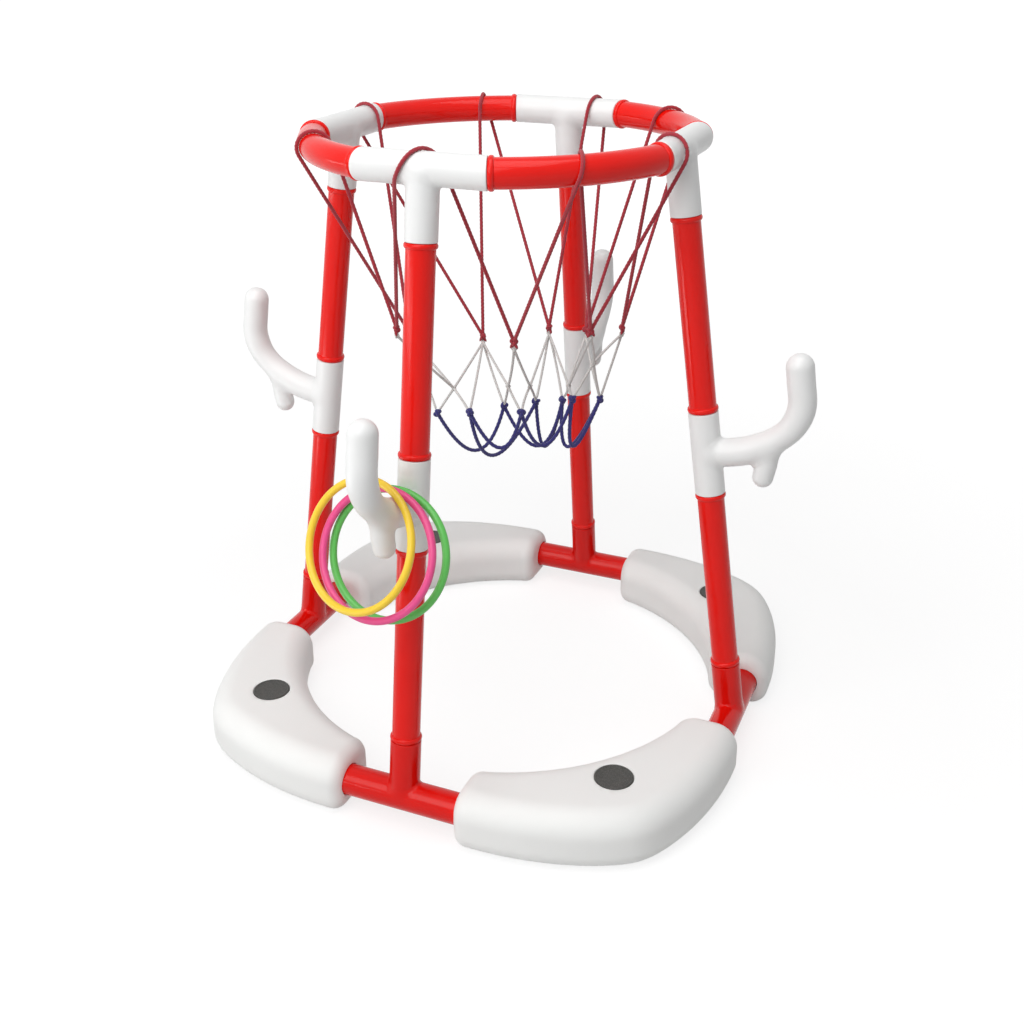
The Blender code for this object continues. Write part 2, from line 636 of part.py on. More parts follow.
def middle_net_mesh():
    """The white part: twines from under the red knots that cross, tied, above the blue knots."""
    drop = Vector((0.0, 0.0, TOP_KNOT + SEAM + MIDDLE_KNOT))
    tops = [net_point(*knot) - drop for knot in TOP_KNOTS]
    feet = [net_point(*knot) for knot in BOTTOM_KNOTS]
    ties = [net_point(*knot) for knot in CROSSINGS]
    spans = [(tops[top], ties[tie]) for top, tie in HIGH_TWINES]
    for start, end in ([(ties[tie], feet[foot]) for tie, foot in LOW_TWINES]
                       + [(tops[top], feet[foot]) for top, foot in LONG_TWINES]):
        spans.append((start, end + (start - end).normalized() * (BOTTOM_KNOT + SEAM)))
    pieces = [knot_mesh("knot", point, MIDDLE_KNOT) for point in tops + ties]
    pieces += [cord_mesh("cord", span, MIDDLE_CORD, sides=THIN_CORD_SIDES) for span in spans]
    return join_all("net_middle", pieces)


def bottom_net_mesh():
    """The blue part: eight knots and the cords that sag between them."""
    feet = [net_point(*knot) for knot in BOTTOM_KNOTS]
    pieces = [knot_mesh("knot", foot, BOTTOM_KNOT) for foot in feet]
    for first, last, drop, lean in LOOPS:
        path = []
        for step in range(LOOP_STEPS + 1):
            share = step / LOOP_STEPS
            bow = 4 * share * (1 - share)
            path.append(feet[first].lerp(feet[last], share + lean * bow) - Vector((0.0, 0.0, drop * bow)))
        pieces.append(cord_mesh("loop", path, BOTTOM_CORD))
    return join_all("net_bottom", pieces)


def arm_at(reach):
    """Point on the arm's centre line, its direction and its radius at a distance from the leg axis."""
    stations = arm_stations()
    for near, far in zip(stations, stations[1:]):
        if near[0] <= reach <= far[0]:
            share = (reach - near[0]) / (far[0] - near[0])
            along = Vector((far[0] - near[0], 0.0, far[1] - near[1])).normalized()
            centre = Vector((reach, 0.0, near[1] + (far[1] - near[1]) * share))
            return centre, along, near[2] + (far[2] - near[2]) * share
    return Vector((reach, 0.0, 0.0)), Vector((1.0, 0.0, 0.0)), ARM_RADIUS


def add_toss_rings(hook):
    """Three rings that hang on the front hook's arm, each with its origin on its swing axis."""
    for name, reach, yaw, pitch, swing, colour in RINGS:
        centre, along, radius = arm_at(reach)
        aim = Matrix.Rotation(math.radians(yaw), 4, "Z") @ Matrix.Rotation(-math.radians(pitch), 4, "Y")
        slope = (aim @ Vector((1.0, 0.0, 0.0))).dot(along)
        drop = RING_RADIUS - radius / slope - RING_GAP - RING_SECTION
        mesh = torus_mesh(name, RING_RADIUS, RING_SECTION, RING_STEPS, RING_SIDES)
        upright = Matrix.Translation((0.0, 0.0, -drop)) @ Matrix.Rotation(math.pi / 2, 4, "Y")
        mesh.transform(aim @ Matrix.Rotation(math.radians(swing), 4, "X") @ upright)
        place(name, mesh, plastic(name, colour, 0.35), hook, centre)


def build():
    """Makes every piece and puts it in its place."""
    clear_scene()
    red = plastic("red_tube", (0.83, 0.02, 0.01), 0.22)
    red_tee = plastic("red_tee", (0.80, 0.02, 0.01), 0.25)
    white = plastic("white_connector", (0.86, 0.87, 0.86), 0.30)
    white_float = plastic("white_float", (0.84, 0.85, 0.83), 0.45)
    dark = plastic("dark_plug", (0.05, 0.05, 0.045), 0.55)
    tube = tube_mesh()
    rim_tube = rim_tube_mesh()
    rim_tee = rim_tee_mesh()
    base_tee = base_tee_mesh()
    hook = hook_mesh()
    shell = float_mesh()
    plug = plug_mesh()
    diagonal = PLUG_PLACE / math.sqrt(2.0)
    for index, side in enumerate(SIDE_NAMES):
        frame = empty("side_" + side, rotation=(0.0, 0.0, FRONT_TURN + index * SIDE_STEP))
        leg = empty("leg_" + side, frame, (FOOT_RADIUS, 0.0, BASE_HEIGHT), (0.0, -LEG_LEAN, 0.0))
        place("base_tee_" + side, base_tee, red_tee, leg)
        place("lower_tube_" + side, tube, red, leg, (0.0, 0.0, LOWER_TUBE_START))
        own_hook = place("hook_" + side, hook, white, leg, (0.0, 0.0, SLEEVE_MIDDLE))
        place("upper_tube_" + side, tube, red, leg, (0.0, 0.0, UPPER_TUBE_START))
        place("rim_tee_" + side, rim_tee, white, frame, (RIM_TEE_PLACE, 0.0, RIM_HEIGHT))
        if side == "front":
            add_toss_rings(own_hook)
    for index, corner in enumerate(CORNER_NAMES):
        turn = index * SIDE_STEP
        frame = empty("corner_" + corner, rotation=(0.0, 0.0, turn))
        place("rim_tube_" + corner, rim_tube, red, frame, (0.0, 0.0, RIM_HEIGHT), (0.0, 0.0, FRONT_TURN))
        place("float_" + corner, shell, white_float, frame, (0.0, 0.0, BASE_HEIGHT))
        place("float_plug_" + corner, plug, dark, frame, (diagonal, -diagonal, FLOAT_HEIGHT))
    place("net_top_cords", smooth(top_net_mesh()), plastic("net_red", (0.30, 0.01, 0.03), 0.7))
    place("net_middle_cords", smooth(middle_net_mesh()), plastic("net_white", (0.70, 0.69, 0.66), 0.8))
    place("net_bottom_loops", smooth(bottom_net_mesh()), plastic("net_blue", (0.03, 0.02, 0.22), 0.7))


build()
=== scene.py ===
"""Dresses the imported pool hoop: moulded tees and hooks, drawn tubes, blow-moulded floats, corded net
and toss rings, all at the places of the CAD nodes. Lengths are in metres, +Z is up."""

import math

import bmesh
import bpy
import numpy as np
from mathutils import Matrix, Vector


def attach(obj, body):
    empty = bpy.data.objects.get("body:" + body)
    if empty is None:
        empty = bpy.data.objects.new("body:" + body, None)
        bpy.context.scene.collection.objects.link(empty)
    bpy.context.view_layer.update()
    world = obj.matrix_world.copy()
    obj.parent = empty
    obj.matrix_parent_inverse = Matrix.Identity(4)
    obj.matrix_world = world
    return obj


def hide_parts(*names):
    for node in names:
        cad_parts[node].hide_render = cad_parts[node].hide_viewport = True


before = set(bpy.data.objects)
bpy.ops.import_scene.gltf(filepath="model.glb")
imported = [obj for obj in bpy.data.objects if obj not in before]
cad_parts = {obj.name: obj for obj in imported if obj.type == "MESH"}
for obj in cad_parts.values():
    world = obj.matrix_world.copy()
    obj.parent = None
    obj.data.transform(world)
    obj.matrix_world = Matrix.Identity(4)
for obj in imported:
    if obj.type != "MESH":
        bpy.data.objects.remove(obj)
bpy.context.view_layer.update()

# The part's own sizes, repeated here in metres; the prong's are a hair less, to stay inside the CAD box
RIM_RADIUS, RIM_TEE_HALF, FOOT_RADIUS = 0.1675, 0.0542, 0.2317
TUBE_RADIUS, TUBE_WALL, TUBE_LENGTH = 0.01225, 0.0016, 0.175
BEAD_RISE, BEAD_LENGTH = 0.0016, 0.0048
CONNECTOR_RADIUS, SPIGOT_LENGTH, SPIGOT_WALL, FIT, SEAM = 0.0135, 0.018, 0.0021, 0.00035, 0.0003
RIM_STEM, BASE_STEM, BASE_TEE_RADIUS, BASE_TEE_WALL = 0.0565, 0.0535, 0.01375, 0.0020
SLEEVE_LENGTH, ARM_RADIUS, ARM_REACH = 0.0776, 0.0128, 0.0380
PRONG_REACH, PRONG_RADIUS, PRONG_TIP, WAIST_RADIUS = 0.0881, 0.0122, 0.0915, 0.0115
STUB_ROOT, STUB_REACH, STUB_RADIUS, STUB_DROP = 0.0580, 0.0490, 0.0088, 0.0315
FLOAT_HEIGHT, FLOAT_INNER_RADIUS, FLOAT_SIDE_REACH = 0.054, 0.205, 0.1885
FLOAT_CORNER_REACH, FLOAT_CORNER_POWER = 0.0185, 1.9
FLOAT_END, FLOAT_END_ROUND, FLOAT_TOP_ROUND, FLOAT_BOTTOM_ROUND = 0.054, 0.012, 0.022, 0.017
FLOAT_WALL, SOCKET_DEPTH, SOCKET_WALL = 0.0022, 0.024, 0.0020
PLUG_PLACE, PLUG_RADIUS, PLUG_HEAD, PLUG_SHANK_RADIUS = 0.2435, 0.0170, 0.0030, 0.0130
PLUG_SHANK, PLUG_SHANK_WALL, PLUG_PROUD, PLUG_DISH = 0.0090, 0.0018, 0.0006, 0.0010
NECK_WALL, NECK_LEDGE = 0.0030, 0.0016
RING_RADIUS, RING_SECTION = 0.053, 0.0032
TOP_CORD, MIDDLE_CORD, BOTTOM_CORD = 0.0017, 0.0012, 0.0018
TOP_KNOT, MIDDLE_KNOT, BOTTOM_KNOT = 0.0033, 0.0023, 0.0039

# The net: wraps as (turn from the front in degrees, drift along the rim), knots and crossings as
# (turn, reach, drop below the rim), twines as the two ends that they join, loops as (first bottom
# knot, last bottom knot, drop, lean)
WRAPS = ((-2.0, 0.026), (43.0, 0.012), (80.0, 0.014), (137.0, 0.012), (169.5, 0.008), (210.0, 0.012),
         (256.0, 0.010), (311.0, 0.012))
TOP_KNOTS = ((27.2, 0.100, 0.156), (71.0, 0.100, 0.157), (115.0, 0.108, 0.177), (151.6, 0.100, 0.198),
             (177.6, 0.100, 0.204), (216.5, 0.100, 0.215), (273.0, 0.098, 0.190), (320.0, 0.108, 0.160))
BOTTOM_KNOTS = ((43.2, 0.0404, 0.2450), (95.2, 0.0647, 0.2387), (113.2, 0.0887, 0.2464),
                (135.3, 0.0586, 0.2558), (162.6, 0.0448, 0.2617), (206.4, 0.0381, 0.2676),
                (295.0, 0.0653, 0.2587), (340.3, 0.0492, 0.2449))
CROSSINGS = ((284.1, 0.0501, 0.2378), (113.2, 0.0020, 0.2331), (105.6, 0.0227, 0.2322),
             (126.5, 0.0611, 0.2385), (99.3, 0.0831, 0.2031))
HIGH_TWINES = ((5, 0), (6, 0), (7, 0), (5, 1), (0, 1), (0, 2), (4, 2), (4, 3), (3, 3), (1, 3), (1, 4),
               (2, 4))
LOW_TWINES = ((0, 6), (0, 7), (1, 0), (1, 5), (2, 4), (2, 0), (3, 1), (3, 3), (4, 2), (4, 1))
LONG_TWINES = ((5, 7), (5, 5), (4, 4), (4, 3), (3, 2), (2, 2), (6, 6))
LOOPS = ((6, 5, 0.0436, 0.07), (7, 4, 0.0479, -0.15), (7, 0, 0.0353, 0.09), (5, 3, 0.0458, 0.09),
         (0, 1, 0.0390, -0.04), (4, 3, 0.0481, -0.16), (2, 3, 0.0490, 0.34), (2, 1, 0.0479, 0.45))
KNOT_GAP, WRAP_GAP, TWINE_BOW, STRAND_WAVE, WRAP_POINTS = 0.0008, 0.0002, 0.0009, 0.09, 40
TAIL_SPREAD, TAIL_DROP, TAIL_STEP, TAIL_BOW = 0.0032, 0.0062, 0.0016, 0.0008

# Fine shapes: rounded lips, fillets where limbs meet, and how far a skin may swell for them
LIP, MOUTH_LIP, MOUTH_RUN, ARCH_INSET, STEM_ROOT, BAR_REACH = 0.0006, 0.0004, 0.02, 0.006, 0.006, 0.2
RIM_FILLET, RIM_SWELL, BASE_FILLET, BASE_SWELL = 0.0045, 0.004, 0.0022, 0.003
HOOK_FILLET, FORK_FILLET, SLEEVE_SWELL, ARM_SWELL, STUB_SWELL = 0.0042, 0.007, 0.004, 0.005, 0.006
PLUG_ROLL, PLUG_EDGE = 0.0011, 0.0004
# The arm's bend: share of the way out to the prong, rise, and share of the way from waist to arm radius
ARM_BEND = ((0.30, 0.0078, 0.4), (0.56, 0.0145, 0.0), (0.78, 0.0235, 0.1), (0.93, 0.0350, 0.5))
# Where the middle of a float's corner is eased, in radians
CORNER_SOFT, CORNER_EASE = 0.09, 0.085
# Eased mouths of a float's openings as (wider, height), and how far a cutter stands clear of the skin
SOCKET_MOUTH = ((0.0044, -0.004), (0.0004, 0.0), (0.0, 0.0009))
NECK_MOUTH = ((0.0, -0.0007), (0.0002, -0.0003), (0.0007, 0.0), (0.0047, 0.004))
CLEAR = 0.004
# Rows and sides of the meshes
TUBE_SIDES, WALL_ROWS, RUN_ROWS, BASE_ROWS, TIP_ROWS = 64, 64, 96, 150, 14

SIDES = ("front", "right", "back", "left")
CORNERS = ("front_right", "back_right", "back_left", "front_left")

QUARTER = math.pi / 2
RIM_TEE_PLACE = math.sqrt(RIM_RADIUS ** 2 - RIM_TEE_HALF ** 2)
RIM_MITRE = math.atan2(RIM_TEE_HALF, RIM_TEE_PLACE)
LEG_LENGTH = BASE_STEM + 2 * TUBE_LENGTH + SLEEVE_LENGTH + RIM_STEM + 4 * SEAM
LEG_LEAN = math.asin((FOOT_RADIUS - RIM_TEE_PLACE) / LEG_LENGTH)
BASE_HEIGHT = FLOAT_HEIGHT / 2
RIM_HEIGHT = BASE_HEIGHT + LEG_LENGTH * math.cos(LEG_LEAN)
LOWER_TUBE_START = BASE_STEM + SEAM
SLEEVE_START = LOWER_TUBE_START + TUBE_LENGTH + SEAM
SLEEVE_MIDDLE = SLEEVE_START + SLEEVE_LENGTH / 2
UPPER_TUBE_START = SLEEVE_START + SLEEVE_LENGTH + SEAM
TUBE_BORE = TUBE_RADIUS - TUBE_WALL
SPIGOT_RADIUS = TUBE_BORE - FIT
SPIGOT_BORE = SPIGOT_RADIUS - SPIGOT_WALL
PLUG_SIDE = PLUG_PLACE / math.sqrt(2)


# ---------------- surfaces
def turns(count, start=0.0):
    """Evenly spaced angles round a circle."""
    return start + 2 * np.pi * np.arange(count) / count


def unit(rows, guard=0.0):
    """Vectors brought to length one. A guard keeps those of no length from dividing by zero."""
    return rows / (np.linalg.norm(rows, axis=-1, keepdims=True) + guard)


def revolved(profile, sides):
    """Rows of (radius, height) turned about Z: x = radius cos t, y = radius sin t, z = height."""
    radius, height = np.asarray(profile, float).T[..., None]
    angle = turns(sides)
    return np.stack([radius * np.cos(angle), radius * np.sin(angle), height + 0 * angle], -1)


def arc(centre, radius, first, last, count):
    """Points on a circular arc in the plane of radius and height, angles in degrees."""
    angle = np.radians(np.linspace(first, last, count))
    return np.stack([centre[0] + radius * np.cos(angle), centre[1] + radius * np.sin(angle)], 1)


def carried(path, radii, sides, upright, swirl=None):
    """A round section carried along a path: centre + r (cos t across + sin t other).

    Across is kept square to the path and nearest to the reference direction. Swirl gives each row
    and side a factor on the radius, as the strands of a laid cord do.
    """
    path = np.asarray(path, float)
    along = unit(np.gradient(path, axis=0))
    other = unit(np.cross(along, upright))
    across = np.cross(other, along)
    angle = turns(sides)[None, :, None]
    radii = np.broadcast_to(np.asarray(radii, float).reshape(-1, 1), (len(path), 1))
    radii = radii * (1 if swirl is None else swirl)
    ring = np.cos(angle) * across[:, None] + np.sin(angle) * other[:, None]
    return path[:, None] + radii[..., None] * ring


def spline(points, per_span):
    """A smooth curve through rows of numbers: a Catmull-Rom cubic on each span."""
    points = np.asarray(points, float)
    padded = np.vstack([2 * points[0] - points[1], points, 2 * points[-1] - points[-2]])
    share = np.linspace(0, 1, per_span, endpoint=False)[:, None]
    spans = []
    for k in range(len(points) - 1):
        a, b, c, d = padded[k:k + 4]
        spans.append(0.5 * (2 * b + (c - a) * share + (2 * a - 5 * b + 4 * c - d) * share ** 2
                            + (3 * b - a - 3 * c + d) * share ** 3))
    return np.vstack(spans + [points[-1:]])


def round_min(a, b, blend):
    """The smaller of two distances, with the crease between their surfaces filled to a radius."""
    near = np.clip(blend - np.abs(a - b), 0, None) / blend
    return np.minimum(a, b) - near ** 2 * blend / 4


def off_segment(points, start, end, radius):
    """Distance from points to a round-ended bar."""
    start, end = np.asarray(start, float), np.asarray(end, float)
    line = end - start
    share = np.clip(((points - start) @ line) / (line @ line), 0, 1)
    return np.linalg.norm(points - start - share[..., None] * line, axis=-1) - radius


def off_chain(points, stations):
    """Distance from points to the hull of a row of balls, each x, z and radius, in the XZ plane."""
    best = None
    x, y, z = np.moveaxis(points, -1, 0)
    for reach, rise, radius in stations:
        away = np.sqrt((x - reach) ** 2 + y ** 2 + (z - rise) ** 2)
        best = away - radius if best is None else np.minimum(best, away - radius)
    return best


def swelled(grid, field, reach, rounds=26):
    """Pushes a skin straight out from its rings' middles until it meets the blended solid.

    Each round moves a point by 0.8 of its depth inside the field, never more than the reach.
    """
    way = unit(grid - grid.mean(axis=1, keepdims=True), 1e-12)
    moved = np.zeros(grid.shape[:2])
    for _ in range(rounds):
        moved = np.clip(moved - 0.8 * field(grid + way * moved[..., None]), 0, reach)
    return grid + way * moved[..., None]


def added(name, data):
    """A new object in the scene."""
    thing = bpy.data.objects.new(name, data)
    bpy.context.scene.collection.objects.link(thing)
    return thing


def smoothed(mesh, crease):
    """A mesh shaded smooth, apart from edges sharper than the crease in degrees."""
    mesh.shade_smooth()
    mesh.set_sharp_from_angle(angle=math.radians(crease))
    return mesh


def mesh_of(name, skins, crease=35.0):
    """One mesh from grids of points. A skin is (grid, columns close round, rows close end to end).

    UV is the column and row share, welded points close seams and poles, and faces turn outward.
    """
    points, faces, marks, start = [], [], [], 0
    for grid, around, along in skins:
        rows, columns = grid.shape[:2]
        row, column = np.meshgrid(np.arange(rows - (not along)), np.arange(columns - (not around)),
                                  indexing="ij")
        row, column = row.ravel(), column.ravel()
        corners = ((row, column), (row, column + 1), (row + 1, column + 1), (row + 1, column))
        faces.append(np.stack([start + (r % rows) * columns + c % columns for r, c in corners], 1))
        marks.append(np.stack([np.stack([c / columns, r / rows], 1) for r, c in corners], 1))
        points.append(grid.reshape(-1, 3))
        start += rows * columns
    points, faces, marks = np.concatenate(points), np.concatenate(faces), np.concatenate(marks)
    mesh = bpy.data.meshes.new(name)
    mesh.vertices.add(len(points))
    mesh.vertices.foreach_set("co", points.astype(np.float32).ravel())
    mesh.loops.add(faces.size)
    mesh.loops.foreach_set("vertex_index", faces.ravel())
    mesh.polygons.add(len(faces))
    mesh.polygons.foreach_set("loop_start", np.arange(0, faces.size, 4))
    mesh.update(calc_edges=True)
    mesh.uv_layers.new(name="run").data.foreach_set("uv", marks.astype(np.float32).ravel())
    work = bmesh.new()
    work.from_mesh(mesh)
    bmesh.ops.remove_doubles(work, verts=work.verts, dist=2e-6)
    bmesh.ops.recalc_face_normals(work, faces=work.faces)
    work.to_mesh(mesh)
    work.free()
    return smoothed(mesh, crease)


def carved(mesh, steps, crease=35.0):
    """Adds or cuts meshes in order with exact booleans."""
    body = added("body_in_work", mesh)
    for operation, tool_mesh in steps:
        tool = added("tool_in_work", tool_mesh)
        change = body.modifiers.new("change", "BOOLEAN")
        change.operation, change.solver, change.object = operation, "EXACT", tool
        bpy.context.view_layer.update()
        done = body.evaluated_get(bpy.context.evaluated_depsgraph_get())
        body.data = bpy.data.meshes.new_from_object(done)
        body.modifiers.clear()
        bpy.data.objects.remove(tool)
    result = body.data
    bpy.data.objects.remove(body)
    return smoothed(result, crease)


def side_matrix(index):
    """The frame of a side: X points out over its leg."""
    return Matrix.Rotation(-QUARTER + index * QUARTER, 4, "Z")


def leg_matrix(index, height=0.0):
    """The frame of a leaning leg, Z up along it from the base tee's centre."""
    return (side_matrix(index) @ Matrix.Translation((FOOT_RADIUS, 0, BASE_HEIGHT))
            @ Matrix.Rotation(-LEG_LEAN, 4, "Y") @ Matrix.Translation((0, 0, height)))


def corner_matrix(index):
    """The frame of a corner, as the front right one."""
    return Matrix.Rotation(index * QUARTER, 4, "Z")


def finished(node, mesh, place, body, finish):
    """Puts a copy of a mesh in its node's place, with its place in the mesh."""
    own = mesh.copy()
    own.transform(place)
    own.materials.clear()
    own.materials.append(finish)
    piece = added(node + "_finished", own)
    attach(piece, body)
    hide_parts(node)


# ---------------- tubes and tees
def bead_rows():
    """A rolled bead from the mouth inward: radius + rise times a half ellipse over its length."""
    share = (1 - np.cos(np.linspace(0.12, np.pi, 15))) / 2
    lift = np.sqrt(np.clip(1 - (2 * share - 1) ** 2, 0, 1))
    return np.stack([TUBE_RADIUS + BEAD_RISE * lift, share * BEAD_LENGTH], 1)


def tube_mesh():
    """A leg tube: bore, rounded lip, rolled bead, long wall, and the same at its other mouth."""
    lip = arc((TUBE_BORE + MOUTH_LIP, MOUTH_LIP), MOUTH_LIP, 180, 270, 4)
    half = np.vstack([[[TUBE_BORE, MOUTH_RUN]], lip, bead_rows(), [[TUBE_RADIUS, MOUTH_RUN]]])
    other = half[::-1].copy()
    other[:, 1] = TUBE_LENGTH - other[:, 1]
    return mesh_of("leg_tube", [(revolved(np.vstack([half, other]), TUBE_SIDES), True, True)])


def rim_ring(radius, turn, sides, axis_place=0.0):
    """Circles across the rim, one for each radius and turn about the hoop axis."""
    radius, turn = np.broadcast_arrays(np.asarray(radius, float), np.asarray(turn, float))
    radius, turn = radius[:, None], turn[:, None]
    side = turns(sides)[None]
    reach = RIM_RADIUS + radius * np.cos(side)
    return np.stack([reach * np.cos(turn) - axis_place, reach * np.sin(turn),
                     radius * np.sin(side) + 0 * turn], -1)


def rim_tube_mesh():
    """A tube bent along the rim's circle between two rim tees, beaded at both mouths."""
    start = RIM_MITRE + SEAM / RIM_RADIUS
    end = QUARTER - start
    bead, inset = bead_rows(), ARCH_INSET / RIM_RADIUS
    arch, back = np.linspace(start + inset, end - inset, 44), np.linspace(end, start, 24)
    turn = np.concatenate([start + bead[:, 1] / RIM_RADIUS, arch, end - bead[::-1, 1] / RIM_RADIUS, back])
    radius = np.concatenate([bead[:, 0], np.full(len(arch), TUBE_RADIUS), bead[::-1, 0],
                             np.full(len(back), TUBE_BORE)])
    return mesh_of("rim_tube", [(rim_ring(radius, turn, TUBE_SIDES), True, True)])


def stem_rows(root, shoulder):
    """A stem's outline from its root: wall, rounded shoulder, spigot, and its bore back again."""
    height = np.linspace(root, shoulder - LIP, WALL_ROWS)
    rounding = arc((CONNECTOR_RADIUS - LIP, shoulder - LIP), LIP, 0, 90, 6)[1:]
    end = shoulder + SPIGOT_LENGTH
    return np.vstack([np.stack([np.full(WALL_ROWS, CONNECTOR_RADIUS), height], 1), rounding,
                      [[SPIGOT_RADIUS, shoulder], [SPIGOT_RADIUS, end], [SPIGOT_BORE, end],
                       [SPIGOT_BORE, root]]])


def rim_tee_mesh():
    """A rim tee: a straight run mitred to the rim's radial planes and a stem down the leg's line."""
    lip = LIP / RIM_RADIUS
    straight = RIM_MITRE - lip
    reach = RIM_MITRE + SPIGOT_LENGTH / RIM_RADIUS
    rounding = np.radians(np.linspace(0, 90, 6))
    middle = np.linspace(-1, 1, RUN_ROWS) * straight
    edge = straight + lip * np.sin(rounding)
    edge_radius = CONNECTOR_RADIUS - LIP * (1 - np.cos(rounding))
    out = np.linspace(RIM_MITRE, reach, 6)
    tail = np.concatenate([out, out[::-1]])
    tail_radius = np.repeat([SPIGOT_RADIUS, SPIGOT_BORE], 6)
    turn = np.concatenate([-tail[::-1], -edge[::-1], middle, edge, tail])
    radius = np.concatenate([tail_radius[::-1], edge_radius[::-1], np.full(RUN_ROWS, CONNECTOR_RADIUS),
                             edge_radius, tail_radius])
    run = rim_ring(radius, turn, 80, RIM_TEE_PLACE)
    inner = np.abs(turn) <= straight
    share = ((turn / straight + 1) / 2)[inner][:, None, None]
    first, last = run[inner][0], run[inner][-1]
    run[inner] = first * (1 - share) + last * share
    way = np.array([math.sin(LEG_LEAN), 0, -math.cos(LEG_LEAN)])
    lean = np.array(Matrix.Rotation(math.pi - LEG_LEAN, 3, "Y"))
    stem = revolved(stem_rows(STEM_ROOT, RIM_STEM), 80) @ lean.T
    crossed = math.cos(RIM_MITRE)

    def blended(points):
        flat = np.sqrt((points[..., 0] / crossed) ** 2 + points[..., 2] ** 2)
        bar = off_segment(points, way * STEM_ROOT, way * BAR_REACH, CONNECTOR_RADIUS)
        return round_min(flat - CONNECTOR_RADIUS, bar, RIM_FILLET)

    run[inner] = swelled(run[inner], blended, RIM_SWELL)
    stem[:WALL_ROWS] = swelled(stem[:WALL_ROWS], blended, RIM_SWELL)
    return mesh_of("rim_tee", [(run, True, True), (stem, True, True)])


def base_tee_mesh():
    """A base tee: a straight run whose ends slide into two floats, and a stem with a spigot."""
    half = FLOAT_END + SOCKET_DEPTH - SEAM
    bore = BASE_TEE_RADIUS - BASE_TEE_WALL
    first = arc((BASE_TEE_RADIUS - LIP, LIP - half), LIP, 270, 360, 5)
    last = arc((BASE_TEE_RADIUS - LIP, half - LIP), LIP, 0, 90, 5)
    height = np.linspace(2 * LIP - half, half - 2 * LIP, BASE_ROWS)
    between = np.stack([np.full(BASE_ROWS, BASE_TEE_RADIUS), height], 1)
    rows = np.vstack([[[bore, -half]], first, between, last, [[bore, half]]])
    run = revolved(rows, 72) @ np.array(Matrix.Rotation(-QUARTER, 3, "X")).T
    stem = revolved(stem_rows(STEM_ROOT, BASE_STEM), 72)

    def blended(points):
        across = np.hypot(points[..., 0], points[..., 2]) - BASE_TEE_RADIUS
        bar = off_segment(points, (0, 0, STEM_ROOT), (0, 0, BAR_REACH), CONNECTOR_RADIUS)
        return round_min(across, bar, BASE_FILLET)

    wall = slice(1 + len(first), 1 + len(first) + BASE_ROWS)
    run[wall] = swelled(run[wall], blended, BASE_SWELL)
    stem[:WALL_ROWS] = swelled(stem[:WALL_ROWS], blended, BASE_SWELL)
    return mesh_of("base_tee", [(run, True, True), (stem, True, True)])


# ---------------- hooks
def arm_line():
    """The arm's middle line with radii: out from the leg, round the bend and up the prong."""
    rows = [(STEM_ROOT, 0.0, ARM_RADIUS), (ARM_REACH * 0.55, 0.0, ARM_RADIUS),
            (ARM_REACH, 0.0025, ARM_RADIUS)]
    for share, rise, thick in ARM_BEND:
        rows.append((ARM_REACH + (PRONG_REACH - ARM_REACH) * share, rise,
                     WAIST_RADIUS + (ARM_RADIUS - WAIST_RADIUS) * thick))
    for height in (PRONG_TIP * 0.52, PRONG_TIP * 0.70, PRONG_TIP - PRONG_RADIUS):
        rows.append((PRONG_REACH, height, PRONG_RADIUS))
    return spline(rows, 14)


def stub_line():
    """The stub's middle line with radii: from inside the arm's bend slanting down and back to its end."""
    rows = [(STUB_ROOT + 0.0015, 0.0075, STUB_RADIUS * 0.70), (STUB_ROOT, 0.0045, STUB_RADIUS * 0.92),
            (STUB_ROOT + (STUB_REACH - STUB_ROOT) * 0.5, -STUB_DROP * 0.28, STUB_RADIUS * 1.08),
            (STUB_REACH, STUB_RADIUS - STUB_DROP, STUB_RADIUS * 1.06)]
    return spline(rows, 16)


def limb_skin(line, sides):
    """The skin of a round limb in the XZ plane, closed at its start and rounded off at its tip."""
    last, before = line[-1], line[-2]
    heading = unit(last[:2] - before[:2])
    angle = np.radians(np.linspace(0, 90, TIP_ROWS + 1))[1:]
    tip = np.stack([last[0] + heading[0] * last[2] * np.sin(angle),
                    last[1] + heading[1] * last[2] * np.sin(angle), last[2] * np.cos(angle)], 1)
    root = np.array([[line[0][0], line[0][1], 0.0]])
    rows = np.vstack([root, line, tip])
    path = np.stack([rows[:, 0], 0 * rows[:, 0], rows[:, 1]], 1)
    path[0] = path[1] - (path[2] - path[1]) * 0.02
    path[-1] += (path[-1] - path[-2]) * 1e-4
    return carried(path, rows[:, 2], sides, np.array([0.0, 1.0, 0.0]))


def hook_mesh():
    """A sleeve with a spigot at each end, and a limb that forks into an upright prong and a stub."""
    upper = stem_rows(0.0, SLEEVE_LENGTH / 2)[:-1]
    lower = upper[::-1] * np.array([1.0, -1.0])
    sleeve = revolved(np.vstack([lower, upper[1:]]), 96)
    arm, stub = arm_line(), stub_line()
    sparse_arm, sparse_stub = arm[::2], stub[::3]

    def blended(points):
        bar = np.hypot(points[..., 0], points[..., 1]) - CONNECTOR_RADIUS
        limbs = round_min(off_chain(points, sparse_arm), off_chain(points, sparse_stub), FORK_FILLET)
        return round_min(bar, limbs, HOOK_FILLET)

    wall = slice(len(lower) - WALL_ROWS, len(lower) + WALL_ROWS - 1)
    sleeve[wall] = swelled(sleeve[wall], blended, SLEEVE_SWELL)
    skins = [(sleeve, True, True)]
    for line, reach in ((arm, ARM_SWELL), (stub, STUB_SWELL)):
        skin = limb_skin(line, 64)
        free = slice(1, -1 - TIP_ROWS)
        skin[free] = swelled(skin[free], blended, reach)
        skins.append((skin, True, False))
    return mesh_of("hook", skins)


